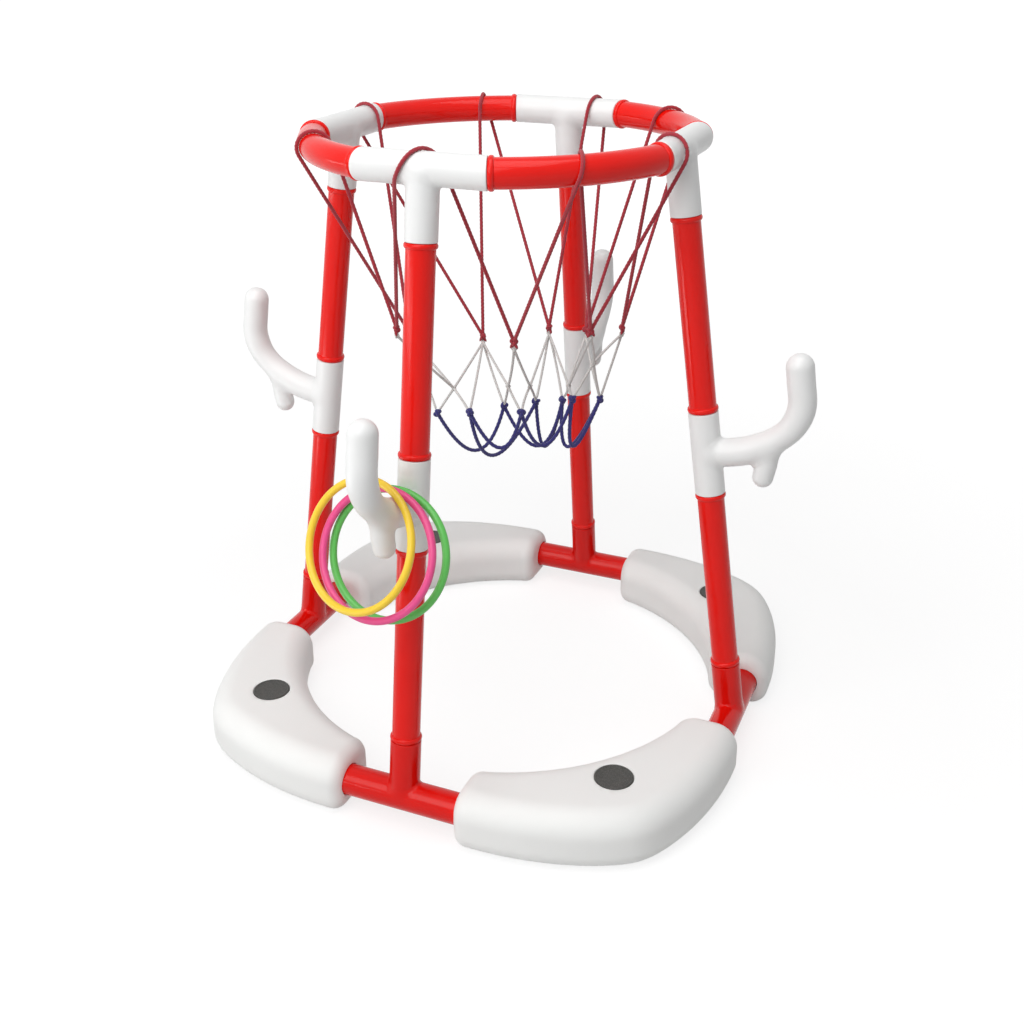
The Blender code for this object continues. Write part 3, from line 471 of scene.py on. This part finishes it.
# ---------------- floats and plugs
def float_rings(inset, turn_rows, cap_rows, corner):
    """Sections of a float round its bend, each a rounded rectangle square to the middle line.

    The inner face follows a circle about the hoop axis, the outer face bulges to a blunt corner,
    and at each end the section shrinks along a quarter circle.
    """
    pivot = FLOAT_END + FLOAT_END_ROUND
    angle = np.radians(np.linspace(0, 90, cap_rows, endpoint=False))
    cap_slide, cap_shrink = FLOAT_END_ROUND * np.cos(angle), FLOAT_END_ROUND * (1 - np.sin(angle))
    cap_slide = np.maximum(cap_slide - inset, cap_slide * 0.5)
    turn = np.linspace(-1, 1, turn_rows) * QUARTER / 2
    turn = np.concatenate([np.full(cap_rows, -QUARTER / 2), turn, np.full(cap_rows, QUARTER / 2)])
    slide = np.concatenate([-cap_slide, np.zeros(turn_rows), cap_slide[::-1]])[:, None]
    inset = (inset + np.concatenate([cap_shrink, np.zeros(turn_rows), cap_shrink[::-1]]))[:, None]
    along = pivot * math.sqrt(2) * np.cos(turn)
    inner = np.sqrt(along ** 2 - 2 * pivot ** 2 + FLOAT_INNER_RADIUS ** 2) - along
    soft = np.sqrt(turn ** 2 + CORNER_SOFT ** 2) - CORNER_SOFT
    share = np.clip(soft / (QUARTER / 2 - CORNER_EASE), 0, 1)
    outer = FLOAT_SIDE_REACH + FLOAT_CORNER_REACH * (1 - share) ** FLOAT_CORNER_POWER
    wide = ((outer - inner) / 2)[:, None] - inset
    high = FLOAT_HEIGHT / 2 - inset
    across, up = [], []
    for quarter in range(4):
        full = FLOAT_TOP_ROUND if quarter < 2 else FLOAT_BOTTOM_ROUND
        bend = np.clip(full - inset, full * 0.2, np.minimum(wide, high) * 0.95)
        side = 1 if quarter in (0, 3) else -1
        rise = 1 if quarter < 2 else -1
        step = (quarter + np.linspace(0, 1, corner)) * QUARTER
        across.append(side * (wide - bend) + bend * np.cos(step))
        up.append(rise * (high - bend) + bend * np.sin(step))
    across, up = filled(np.hstack(across), corner), filled(np.hstack(up), corner)
    heading = (turn - QUARTER / 2)[:, None]
    across = across + ((inner + outer) / 2)[:, None]
    x = pivot + across * np.cos(heading) - slide * np.sin(heading)
    y = -pivot + across * np.sin(heading) + slide * np.cos(heading)
    return np.stack([x, y, up], -1)


def filled(values, corner, extra=7):
    """Adds evenly spaced points on the flat between each rounded corner and the next."""
    parts = []
    share = np.linspace(0, 1, extra + 2)[1:-1]
    for quarter in range(4):
        block = values[:, quarter * corner:(quarter + 1) * corner]
        after = values[:, (quarter + 1) % 4 * corner][:, None]
        parts += [block, block[:, -1:] + (after - block[:, -1:]) * share]
    return np.hstack(parts)


def capped(rings):
    """Closes the flat ends of a row of sections with rings that shrink to their middles."""
    ends = []
    for ring in (rings[0], rings[-1]):
        middle = ring.mean(axis=0)
        share = np.array([0.85, 0.6, 0.3, 0.0])[:, None, None]
        ends.append(middle + (ring - middle) * share)
    return np.concatenate([ends[0][::-1], rings, ends[1]])


def drum(profile, sides, place):
    """A turned cutter or boss, moved into place."""
    mesh = mesh_of("drum", [(revolved(profile, sides), True, False)])
    mesh.transform(place)
    return mesh


def float_mesh():
    """A blow-moulded float for the front right corner: hollow, with two sockets and a stepped neck."""
    skin = capped(float_rings(0.0, turn_rows=90, cap_rows=10, corner=12))
    hollow = capped(float_rings(FLOAT_WALL, turn_rows=24, cap_rows=5, corner=5))
    shell = mesh_of("float", [(skin, True, False)])
    steps = [("DIFFERENCE", mesh_of("cavity", [(hollow, True, False)]))]
    socket = BASE_TEE_RADIUS + FIT
    into_x = Matrix.Translation((FLOAT_END, -FOOT_RADIUS, 0)) @ Matrix.Rotation(QUARTER, 4, "Y")
    into_y = Matrix.Translation((FOOT_RADIUS, -FLOAT_END, 0)) @ Matrix.Rotation(QUARTER, 4, "X")
    outer, deep, inside = socket + SOCKET_WALL, SOCKET_DEPTH, FLOAT_WALL / 2
    cup = [(0, inside), (outer, inside), (outer, deep + SOCKET_WALL), (0, deep + SOCKET_WALL)]
    mouth = [(socket + wider, height) for wider, height in SOCKET_MOUTH]
    bore = [(0, -CLEAR), *mouth, (socket, deep), (0, deep)]
    steps += [("UNION", drum(cup, 48, place)) for place in (into_x, into_y)]
    steps += [("DIFFERENCE", drum(bore, 72, place)) for place in (into_x, into_y)]
    recess, neck, seat = PLUG_HEAD - PLUG_PROUD + SEAM, PLUG_SHANK_RADIUS + FIT, PLUG_RADIUS + FIT
    here = Matrix.Translation((PLUG_SIDE, -PLUG_SIDE, FLOAT_HEIGHT / 2))
    low, boss = -recess - NECK_LEDGE, seat + NECK_WALL
    mouth = [(seat + wider, height) for wider, height in NECK_MOUTH]
    under = low - CLEAR
    steps += [("UNION", drum([(0, low), (boss, low), (boss, -inside), (0, -inside)], 48, here)),
              ("DIFFERENCE", drum([(0, -recess), (seat, -recess), *mouth, (0, CLEAR)], 96, here)),
              ("DIFFERENCE", drum([(0, under), (neck, under), (neck, CLEAR), (0, CLEAR)], 64, here))]
    return carved(shell, steps)


def plug_mesh():
    """A soft stopper: dished head with a rolled rim, and a hollow shank. Z = 0 is the float's top."""
    foot = PLUG_PROUD - PLUG_HEAD
    inside = PLUG_SHANK_RADIUS - PLUG_SHANK_WALL
    share = np.linspace(0, 1, 12)
    hollow = PLUG_PROUD - PLUG_DISH + PLUG_DISH * 0.35 * share ** 3
    dish = np.stack([PLUG_RADIUS * 0.80 * share, hollow], 1)
    roll = arc((PLUG_RADIUS * 0.93, PLUG_PROUD - PLUG_ROLL), PLUG_ROLL, 150, 0, 12)
    rows = np.vstack([dish, roll, [[PLUG_RADIUS, foot + PLUG_EDGE], [PLUG_RADIUS - PLUG_EDGE, foot],
                                   [PLUG_SHANK_RADIUS, foot], [PLUG_SHANK_RADIUS, foot - PLUG_SHANK + LIP],
                                   [PLUG_SHANK_RADIUS - LIP, foot - PLUG_SHANK],
                                   [inside, foot - PLUG_SHANK], [inside, foot], [0.0, foot]]])
    return mesh_of("float_plug", [(revolved(rows, 96), True, False)], 40.0)


# ---------------- toss rings
def ring_mesh(node):
    """A round ring in the plane of its CAD node: middle and normal come from the node's own points."""
    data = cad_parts[node].data
    points = np.empty(len(data.vertices) * 3, np.float32)
    data.vertices.foreach_get("co", points)
    points = np.unique(points.reshape(-1, 3).round(6), axis=0).astype(float)
    middle = (points.max(0) + points.min(0)) / 2
    for _ in range(4):
        across, other, normal = np.linalg.svd(points - middle)[2]
        flat = np.stack([(points - middle) @ across, (points - middle) @ other], 1)
        middle = middle + across * (flat[:, 0].max() + flat[:, 0].min()) / 2
        middle = middle + other * (flat[:, 1].max() + flat[:, 1].min()) / 2
    angle = turns(168)[:, None, None]
    side = turns(28)[None, :, None]
    outward = np.cos(angle) * across + np.sin(angle) * other
    reach = RING_RADIUS + RING_SECTION * np.cos(side)
    grid = middle + outward * reach + normal * RING_SECTION * np.sin(side)
    return mesh_of(node, [(grid, True, True)])


# ---------------- net
def net_point(turn, reach, drop):
    """A point of the net from its turn from the front in degrees, reach and drop below the rim."""
    angle = -QUARTER + math.radians(turn)
    return np.array([reach * math.cos(angle), reach * math.sin(angle), RIM_HEIGHT - drop])


def rim_place(turn):
    """Middle, direction and radius of the rim at a turn from the front in degrees."""
    angle = math.radians(turn)
    side = round(angle / QUARTER)
    off = angle - side * QUARTER
    heading = angle - QUARTER
    outward = np.array([math.cos(heading), math.sin(heading), 0.0])
    if abs(off) < RIM_MITRE:
        square = (side - 1) * QUARTER
        run = np.array([-math.sin(square), math.cos(square), 0.0])
        return outward * RIM_TEE_PLACE / math.cos(off), run, CONNECTOR_RADIUS
    return outward * RIM_RADIUS, np.array([-outward[1], outward[0], 0.0]), TUBE_RADIUS


def run_along(path):
    """Length along a path up to each of its points."""
    return np.concatenate([[0], np.cumsum(np.linalg.norm(np.diff(path, axis=0), axis=1))])


def resampled(path, step):
    """The same path with evenly spaced points about a step apart."""
    path = np.asarray(path, float)
    length = run_along(path)
    count = max(int(length[-1] / step), 6)
    at = np.linspace(0, length[-1], count)
    return np.stack([np.interp(at, length, path[:, k]) for k in range(3)], 1)


def eased(path, rounds):
    """A path with its corners softened: each inner point moves halfway to its neighbours' middle."""
    path = path.copy()
    for _ in range(rounds):
        path[1:-1] += 0.5 * ((path[:-2] + path[2:]) / 2 - path[1:-1])
    return path


def laid_cord(path, radius, step=0.0011, sides=18, pitch=0.011, ease=6):
    """A laid cord along a path: factor 1 + wave cos 3 (side angle - 2 pi run / pitch) - wave / 2."""
    path = eased(resampled(path, step), ease)
    twist = turns(sides)[None] - 2 * np.pi * run_along(path)[:, None] / pitch
    swirl = 1 + STRAND_WAVE * np.cos(3 * twist) - STRAND_WAVE / 2
    upright = unit(np.cross(path[-1] - path[0], [0.31, -0.47, 0.22]))
    ends = np.ones(len(path))
    ends[[0, -1]] = 0.02
    ends[[1, -2]] = 0.75
    return carried(path, radius * ends, sides, upright, swirl)


def wrap_path(turn, drift, outer_end, inner_end):
    """A taut cord from one knot up outside the rim, over it and down inside it to the next knot."""
    centre, run, tube = rim_place(turn)
    inward = np.array([-run[1], run[0], 0.0])
    down = np.array([0.0, 0.0, -1.0])
    middle = centre + np.array([0.0, 0.0, RIM_HEIGHT])
    reach = tube + WRAP_GAP + TOP_CORD
    leave = []
    for end, way in ((outer_end, -1), (inner_end, 1)):
        aside, below = (end - middle) @ inward, (end - middle) @ down
        leave.append(math.atan2(aside, below) + way * math.acos(reach / math.hypot(aside, below)))
    angle = np.linspace(leave[0] + 2 * math.pi, leave[1], WRAP_POINTS)[:, None]
    over = middle + reach * (np.sin(angle) * inward + np.cos(angle) * down)
    over = over + run * drift * np.linspace(-0.5, 0.5, WRAP_POINTS)[:, None]
    return np.vstack([outer_end, over, inner_end])


def bowed(start, end, bow, count=24):
    """A strand from start to end that bows by a vector in its middle."""
    share = np.linspace(0, 1, count)[:, None]
    return start + (end - start) * share + 4 * share * (1 - share) * np.asarray(bow)


def knot_skin(centre, size, cord, spin, lean=0.0):
    """A tight overhand knot: a trefoil line, squashed to the knot's size, with the cord round it."""
    t = turns(72)
    line = np.stack([np.sin(t) + 2 * np.sin(2 * t), np.cos(t) - 2 * np.cos(2 * t), -1.5 * np.sin(3 * t)], 1)
    line = line / 3.0 * max(size - cord * 0.55, size * 0.42)
    turn = np.array(Matrix.Rotation(spin, 3, "Z") @ Matrix.Rotation(1.2 + lean, 3, "X"))
    line = line @ turn.T + centre
    along = unit(np.roll(line, -1, 0) - np.roll(line, 1, 0))
    other = unit(np.cross(along, line - centre), 1e-12)
    across = np.cross(other, along)
    angle = turns(12)[None, :, None]
    return line[:, None] + cord * 0.92 * (np.cos(angle) * across[:, None] + np.sin(angle) * other[:, None])


def net_pieces():
    """Skins of the net's three coloured parts: cords over the rim, crossed twine, and loops."""
    down = np.array([0.0, 0.0, -1.0])
    tops = [net_point(*knot) for knot in TOP_KNOTS]
    feet = [net_point(*knot) for knot in BOTTOM_KNOTS]
    red, pale, blue = [], [], []
    for index, (turn, drift) in enumerate(WRAPS):
        wrap = wrap_path(turn, drift, tops[index - 1], tops[index])
        red.append((laid_cord(wrap, TOP_CORD), True, False))
    for index, knot in enumerate(tops):
        red.append((knot_skin(knot, TOP_KNOT, TOP_CORD, index * 1.1), True, True))
        out = knot * [1, 1, 0] / np.linalg.norm(knot[:2])
        for way in (-1, 1):
            aim = np.cross(out, down) * way * TAIL_SPREAD + down * TAIL_DROP + out * TAIL_STEP * way
            tail = bowed(knot, knot + aim, out * TAIL_BOW, 8)
            red.append((laid_cord(tail, TOP_CORD * 0.85, ease=1), True, False))
    under = [knot + down * (TOP_KNOT + KNOT_GAP + MIDDLE_KNOT) for knot in tops]
    ties = [net_point(*knot) for knot in CROSSINGS]
    for index, knot in enumerate(under + ties):
        pale.append((knot_skin(knot, MIDDLE_KNOT, MIDDLE_CORD, index * 1.7), True, True))
    spans = [(under[top], ties[tie]) for top, tie in HIGH_TWINES]
    for start, end in ([(ties[tie], feet[foot]) for tie, foot in LOW_TWINES]
                       + [(under[top], feet[foot]) for top, foot in LONG_TWINES]):
        spans.append((start, end + unit(start - end) * BOTTOM_KNOT * 0.9))
    for index, (start, end) in enumerate(spans):
        bow = np.array([math.sin(2.1 * index), math.cos(1.3 * index), 0.0]) * TWINE_BOW
        twine = bowed(start, end, bow)
        pale.append((laid_cord(twine, MIDDLE_CORD, step=0.0010, sides=12, pitch=0.008), True, False))
    for index, knot in enumerate(feet):
        lean = 0.3 * math.sin(index)
        blue.append((knot_skin(knot, BOTTOM_KNOT, BOTTOM_CORD, index * 0.8, lean), True, True))
    share = np.linspace(0, 1, 60)[:, None]
    for first, last, drop, lean in LOOPS:
        bow = 4 * share * (1 - share)
        loop = feet[first] + (feet[last] - feet[first]) * (share + lean * bow) + down * drop * bow
        blue.append((laid_cord(loop, BOTTOM_CORD, pitch=0.013, ease=3), True, False))
    return red, pale, blue


# ---------------- finishes
class Flow:
    """A value on its way through a finish: arithmetic on it adds the nodes that work it out."""

    def __init__(self, graph, socket):
        self.graph, self.socket = graph, socket

    def _math(self, operation, first, second):
        return self.graph.node("Math", {"operation": operation}, {0: first, 1: second})

    def __add__(self, other): return self._math("ADD", self, other)
    def __radd__(self, other): return self._math("ADD", other, self)
    def __sub__(self, other): return self._math("SUBTRACT", self, other)
    def __mul__(self, other): return self._math("MULTIPLY", self, other)
    def __rmul__(self, other): return self._math("MULTIPLY", other, self)
    def __truediv__(self, other): return self._math("DIVIDE", self, other)


class Graph:
    """A node tree in the making, with one method for every node."""

    def __init__(self, tree):
        self.tree = tree

    def feed(self, socket, value):
        """Links a flow to a socket, or sets a plain value on it."""
        if isinstance(value, Flow):
            self.tree.links.new(value.socket, socket)
        elif isinstance(value, (tuple, list)) and len(value) == 3 and socket.type == "RGBA":
            socket.default_value = (*value, 1.0)
        else:
            socket.default_value = value

    def node(self, kind, settings=(), inputs=(), out=0):
        """Adds a node: its settings first, a ramp's stops among them, then its inputs."""
        node = self.tree.nodes.new("ShaderNode" + kind)
        for key, value in dict(settings).items():
            if key == "stops":
                while len(node.color_ramp.elements) < len(value):
                    node.color_ramp.elements.new(0.5)
                for element, (place, grey) in zip(node.color_ramp.elements, value):
                    element.position, element.color = place, (grey, grey, grey, 1.0)
            else:
                setattr(node, key, value)
        for key, value in dict(inputs).items():
            self.feed(node.inputs[key], value)
        return Flow(self, node.outputs[out])


class Finish(Graph):
    """A procedural material in the making."""

    def __init__(self, name, roughness=0.4, **sockets):
        self.material = bpy.data.materials.new(name)
        self.material.use_nodes = True
        super().__init__(self.material.node_tree)
        self.shader = self.tree.nodes["Principled BSDF"]
        self.shader.inputs["Roughness"].default_value = roughness
        for key, value in sockets.items():
            self.shader.inputs[key.replace("_", " ")].default_value = value

    def place(self, scale=(1.0, 1.0, 1.0), uv=False):
        """The piece's own coordinates, stretched by a scale."""
        source = self.node("TexCoord", out=2 if uv else 3)
        return self.node("Mapping", {}, {"Vector": source, "Scale": scale})

    def noise(self, scale, detail=2.0, rough=0.5, stretch=(1.0, 1.0, 1.0), uv=False, low=0.0, high=1.0):
        """Cloudy noise about 0.5, its contrast set by the ramp's low and high places."""
        cloud = self.node("TexNoise", {}, {"Vector": self.place(stretch, uv), "Scale": scale,
                                           "Detail": detail, "Roughness": rough})
        if (low, high) == (0.0, 1.0):
            return cloud
        return self.node("ValToRGB", {"stops": ((low, 0.0), (high, 1.0))}, {0: cloud})

    def mix(self, share, first, second):
        """A colour between two others."""
        return self.node("Mix", {"data_type": "RGBA"}, {0: share, 6: first, 7: second}, out=2)

    def done(self, colour, roughness=None, height=None, depth=0.0002):
        """Feeds the shader: colour, roughness, and a bump of a depth in metres."""
        self.feed(self.shader.inputs["Base Color"], colour)
        if roughness is not None:
            self.feed(self.shader.inputs["Roughness"], roughness)
        if height is not None:
            bump = self.node("Bump", {}, {"Strength": 1.0, "Distance": depth, "Height": height})
            self.feed(self.shader.inputs["Normal"], bump)
        return self.material


def red_gloss(name, base, shade):
    """Glossy drawn or moulded red plastic: faint cloudy tone, hairline draw marks and soft waviness."""
    finish = Finish(name, Specular_IOR_Level=0.22)
    cloud = finish.noise(28.0, 3.0)
    draw = finish.noise(900.0, 3.0, 0.6, (1.0, 1.0, 0.05), low=0.45, high=0.80)
    scuff = finish.noise(420.0, 4.0, 0.65, low=0.66, high=0.82)
    colour = finish.mix(cloud, base, shade)
    colour = finish.mix(scuff * 0.05, colour, (0.90, 0.20, 0.14))
    roughness = 0.11 + 0.06 * cloud + 0.05 * draw + 0.12 * scuff
    height = 0.72 * finish.noise(120.0, 2.0) + 0.18 * draw + 0.10 * finish.noise(900.0, 2.0)
    return finish.done(colour, roughness, height, 0.00009)


def white_satin(name, base, shade):
    """Moulded white plastic with a satin skin: fine pebble, soft cloudiness and faint handling marks."""
    finish = Finish(name, Coat_Weight=0.10, Coat_Roughness=0.20)
    cloud = finish.noise(34.0, 3.0)
    mark = finish.noise(240.0, 4.0, 0.65, low=0.62, high=0.80)
    colour = finish.mix(cloud, base, shade)
    colour = finish.mix(mark * 0.10, colour, (0.66, 0.67, 0.65))
    roughness = 0.30 + 0.10 * cloud + 0.10 * mark
    height = 0.6 * finish.noise(1500.0, 2.0) + 0.4 * finish.noise(160.0, 2.0)
    return finish.done(colour, roughness, height, 0.00010)


def float_skin():
    """Blow-moulded white plastic: matte, finely grained, with slow waviness and slight tone."""
    finish = Finish("float_skin")
    cloud = finish.noise(16.0, 3.0)
    grain = finish.noise(1900.0, 2.0, 0.6)
    speck = finish.noise(520.0, 3.0, 0.7, low=0.66, high=0.80)
    colour = finish.mix(cloud, (0.945, 0.95, 0.935), (0.905, 0.91, 0.895))
    colour = finish.mix(speck * 0.16, colour, (0.66, 0.665, 0.64))
    roughness = 0.46 + 0.12 * cloud + 0.06 * grain
    height = 0.30 * grain + 0.70 * finish.noise(42.0, 2.0)
    return finish.done(colour, roughness, height, 0.00035)


def plug_rubber():
    """Dark soft plastic, mottled and speckled, a little worn and paler in places."""
    finish = Finish("plug_rubber")
    mottle = finish.noise(420.0, 4.0, 0.7, low=0.35, high=0.70)
    speck = finish.noise(1700.0, 2.0, 0.6, low=0.55, high=0.72)
    colour = finish.mix(mottle, (0.030, 0.030, 0.028), (0.075, 0.075, 0.068))
    colour = finish.mix(speck * 0.55, colour, (0.20, 0.20, 0.185))
    return finish.done(colour, 0.52 + 0.2 * mottle, 0.5 * mottle + 0.5 * speck, 0.00018)


def cord_yarn(name, base, shade, strands):
    """Laid cord yarn: fine fibres that turn round it, darker in the grooves, with a dull fuzz."""
    finish = Finish(name, 0.85, Sheen_Weight=0.25, Sheen_Roughness=0.6)
    fibre = finish.noise(1.0, 2.0, 0.6, (46.0, strands, 1.0), uv=True, low=0.30, high=0.72)
    fuzz = finish.noise(2600.0, 2.0, 0.7)
    colour = finish.mix(fibre * 0.75 + fuzz * 0.25, shade, base)
    return finish.done(colour, 0.72 + 0.2 * fibre, 0.6 * fibre + 0.4 * fuzz, 0.00022)


def ring_plastic(name, base, shade):
    """Soft satin tube plastic: cloudy tone, faint wall lines and light scuffs."""
    finish = Finish(name, Coat_Weight=0.1, Coat_Roughness=0.25)
    cloud = finish.noise(60.0, 3.0)
    scuff = finish.noise(700.0, 3.0, 0.6, low=0.62, high=0.80)
    colour = finish.mix(cloud, base, shade)
    colour = finish.mix(scuff * 0.12, colour, (0.9, 0.9, 0.85))
    height = 0.5 * finish.noise(240.0, 2.0) + 0.5 * finish.noise(1300.0, 2.0)
    return finish.done(colour, 0.32 + 0.12 * cloud + 0.1 * scuff, height, 0.00010)


# ---------------- the pieces
tube_red = red_gloss("tube_red", (0.88, 0.007, 0.002), (0.80, 0.005, 0.002))
tee_red = red_gloss("tee_red", (0.80, 0.006, 0.002), (0.70, 0.004, 0.002))
connector_white = white_satin("connector_white", (0.875, 0.88, 0.875), (0.835, 0.84, 0.835))
hook_white = white_satin("hook_white", (0.885, 0.89, 0.885), (0.845, 0.85, 0.845))
float_white = float_skin()
plug_dark = plug_rubber()

RIM_LIFT = Matrix.Translation((0, 0, RIM_HEIGHT))
tube, rim_tube, rim_tee = tube_mesh(), rim_tube_mesh(), rim_tee_mesh()
base_tee, hook, float_shell, plug = base_tee_mesh(), hook_mesh(), float_mesh(), plug_mesh()
for index, side in enumerate(SIDES):
    lower, upper = leg_matrix(index, LOWER_TUBE_START), leg_matrix(index, UPPER_TUBE_START)
    sleeve = leg_matrix(index, SLEEVE_MIDDLE)
    finished("base_tee_" + side, base_tee, leg_matrix(index), "frame", tee_red)
    finished("lower_tube_" + side, tube, lower, "frame", tube_red)
    finished("upper_tube_" + side, tube, upper, "frame", tube_red)
    finished("hook_" + side, hook, sleeve, "hook_" + side, hook_white)
    on_rim = RIM_LIFT @ side_matrix(index) @ Matrix.Translation((RIM_TEE_PLACE, 0, 0))
    finished("rim_tee_" + side, rim_tee, on_rim, "frame", connector_white)
for index, corner in enumerate(CORNERS):
    turned = corner_matrix(index)
    arch = turned @ RIM_LIFT @ Matrix.Rotation(-QUARTER, 4, "Z")
    finished("rim_tube_" + corner, rim_tube, arch, "frame", tube_red)
    low = turned @ Matrix.Translation((0, 0, BASE_HEIGHT))
    finished("float_" + corner, float_shell, low, "frame", float_white)
    spot = turned @ Matrix.Translation((PLUG_SIDE, -PLUG_SIDE, FLOAT_HEIGHT))
    finished("float_plug_" + corner, plug, spot, "float_plug_" + corner, plug_dark)

RING_TONES = (("yellow", (0.95, 0.67, 0.035), (0.90, 0.58, 0.025)),
              ("pink", (0.86, 0.085, 0.30), (0.80, 0.06, 0.25)),
              ("green", (0.13, 0.60, 0.11), (0.10, 0.52, 0.085)))
for tone, base, shade in RING_TONES:
    node = "toss_ring_" + tone
    skin = ring_plastic("ring_" + tone, base, shade)
    finished(node, ring_mesh(node), Matrix(), node, skin)

red_skins, pale_skins, blue_skins = net_pieces()
NET = (("net_top_cords", red_skins, "crimson_cord", (0.50, 0.012, 0.032), (0.28, 0.006, 0.018), 160.0),
       ("net_middle_cords", pale_skins, "pale_cord", (0.80, 0.79, 0.77), (0.58, 0.57, 0.55), 60.0),
       ("net_bottom_loops", blue_skins, "navy_cord", (0.022, 0.018, 0.22), (0.010, 0.008, 0.11), 90.0))
for node, skins, slot, base, shade, strands in NET:
    yarn = cord_yarn(slot + "_yarn", base, shade, strands)
    finished(node, mesh_of(node, skins, 60.0), Matrix(), "frame", yarn)


# ---------------- floor, light and camera
# The floor: how far under the feet, how wide, and where its own glow starts and how far it takes to fill
FLOOR_DROP, FLOOR_REACH, GLOW_START, GLOW_RUN = 0.0004, 16.0, 0.45, 1.6
AMBIENT, LAMP_AIM = 0.24, 0.28


def camera_seen(graph):
    """1 for camera, mirror and see-through rays, 0 for the rays that light the object."""
    path = graph.tree.nodes.new("ShaderNodeLightPath")
    camera_ray, mirrored, through = (Flow(graph, path.outputs["Is " + kind + " Ray"])
                                     for kind in ("Camera", "Glossy", "Transmission"))
    return graph.node("Clamp", {}, {0: camera_ray + mirrored + through})


def floor_finish():
    """A pale plain floor: for the camera, part of its brightness is its own, more so far out."""
    finish = Finish("floor_pale", 0.9, Specular_IOR_Level=0.1)
    finish.done((0.62, 0.62, 0.62))
    bare = finish.node("BsdfDiffuse", {}, {"Color": (0.30, 0.30, 0.30)})
    reach = finish.node("VectorMath", {"operation": "LENGTH"}, {0: finish.place()}, out=1)
    far = finish.node("Clamp", {}, {0: (reach - GLOW_START) / GLOW_RUN})
    glow = finish.node("Emission", {}, {"Color": finish.mix(far, (0.77, 0.77, 0.77), (1.0, 1.0, 1.0))})
    both = finish.node("AddShader", {}, {0: bare, 1: glow})
    plain = Flow(finish, finish.shader.outputs[0])
    mixed = finish.node("MixShader", {}, {0: camera_seen(finish), 1: plain, 2: both})
    finish.feed(finish.tree.nodes["Material Output"].inputs["Surface"], mixed)
    return finish.material


def floor_mesh():
    """A wide flat disc a hair under the feet: rings of points that grow from the middle."""
    radius = np.concatenate([[0.0], np.geomspace(0.2, FLOOR_REACH, 24)])
    rows = np.stack([radius, 0 * radius - FLOOR_DROP], 1)[::-1]
    return mesh_of("floor", [(revolved(rows, 96), True, False)])


def studio_world():
    """Even light from all round, and plain white where the camera or a mirror sees past the floor."""
    world = bpy.data.worlds.new("studio")
    world.use_nodes = True
    graph = Graph(world.node_tree)
    lit, shown = graph.tree.nodes["Background"], graph.tree.nodes.new("ShaderNodeBackground")
    for node, strength in ((lit, AMBIENT), (shown, 1.0)):
        graph.feed(node.inputs["Color"], (1.0, 1.0, 1.0))
        graph.feed(node.inputs["Strength"], strength)
    ends = {1: Flow(graph, lit.outputs[0]), 2: Flow(graph, shown.outputs[0])}
    chosen = graph.node("MixShader", {}, {0: camera_seen(graph), **ends})
    graph.feed(graph.tree.nodes["World Output"].inputs["Surface"], chosen)
    return world


def soft_lamp(name, azimuth, distance, height, size, power, faces=None):
    """A soft box at an azimuth from the front (+ to the right), facing the hoop or along a way."""
    light = bpy.data.lights.new(name, "AREA")
    light.shape, light.size, light.size_y, light.energy = "RECTANGLE", *size, power
    lamp = added(name, light)
    turn = math.radians(azimuth)
    lamp.location = (math.sin(turn) * distance, -math.cos(turn) * distance, height)
    back = lamp.location - Vector((0, 0, LAMP_AIM)) if faces is None else -Vector(faces)
    lamp.rotation_euler = back.to_track_quat("Z", "Y").to_euler()


floor = added("floor", floor_mesh())
floor.data.materials.append(floor_finish())

bpy.context.scene.world = studio_world()
# Each lamp: azimuth, distance, height, width and height of its face, watts
soft_lamp("left_strip", -51.0, 1.8, 0.30, (2.1, 0.16), 4.0)
soft_lamp("low_board", -51.0, 1.0, 0.004, (0.5, 0.5), 2.8, (0, 0, 1))
soft_lamp("key_box", -8.0, 1.86, 1.63, (1.9, 1.5), 25.0)
soft_lamp("top_box", 10.0, 0.44, 2.33, (1.6, 1.6), 21.0)

# The camera that was fitted to the photo: its angles, place, focal length and principal point
AZIMUTH, ELEVATION, ROLL = 0.4057, 0.3815, -0.0069
EYE, FOCAL, SENSOR, SHIFT = (0.4472, -1.0411, 0.7484), 45.11, 36.0, (0.00553, -0.0902)
back = Vector((math.sin(AZIMUTH) * math.cos(ELEVATION), -math.cos(AZIMUTH) * math.cos(ELEVATION),
               math.sin(ELEVATION)))
right = Vector((math.cos(AZIMUTH), math.sin(AZIMUTH), 0.0))
up = back.cross(right)
right, up = (math.cos(ROLL) * right + math.sin(ROLL) * up, math.cos(ROLL) * up - math.sin(ROLL) * right)
view = bpy.data.cameras.new("view")
view.lens, view.sensor_width, view.shift_x, view.shift_y = FOCAL, SENSOR, *SHIFT
view.clip_start, view.clip_end = 0.05, 60.0
camera = added("camera", view)
camera.matrix_world = Matrix.Translation(EYE) @ Matrix((right, up, back)).transposed().to_4x4()
bpy.context.scene.camera = camera
bpy.context.scene.view_settings.view_transform = "Standard"
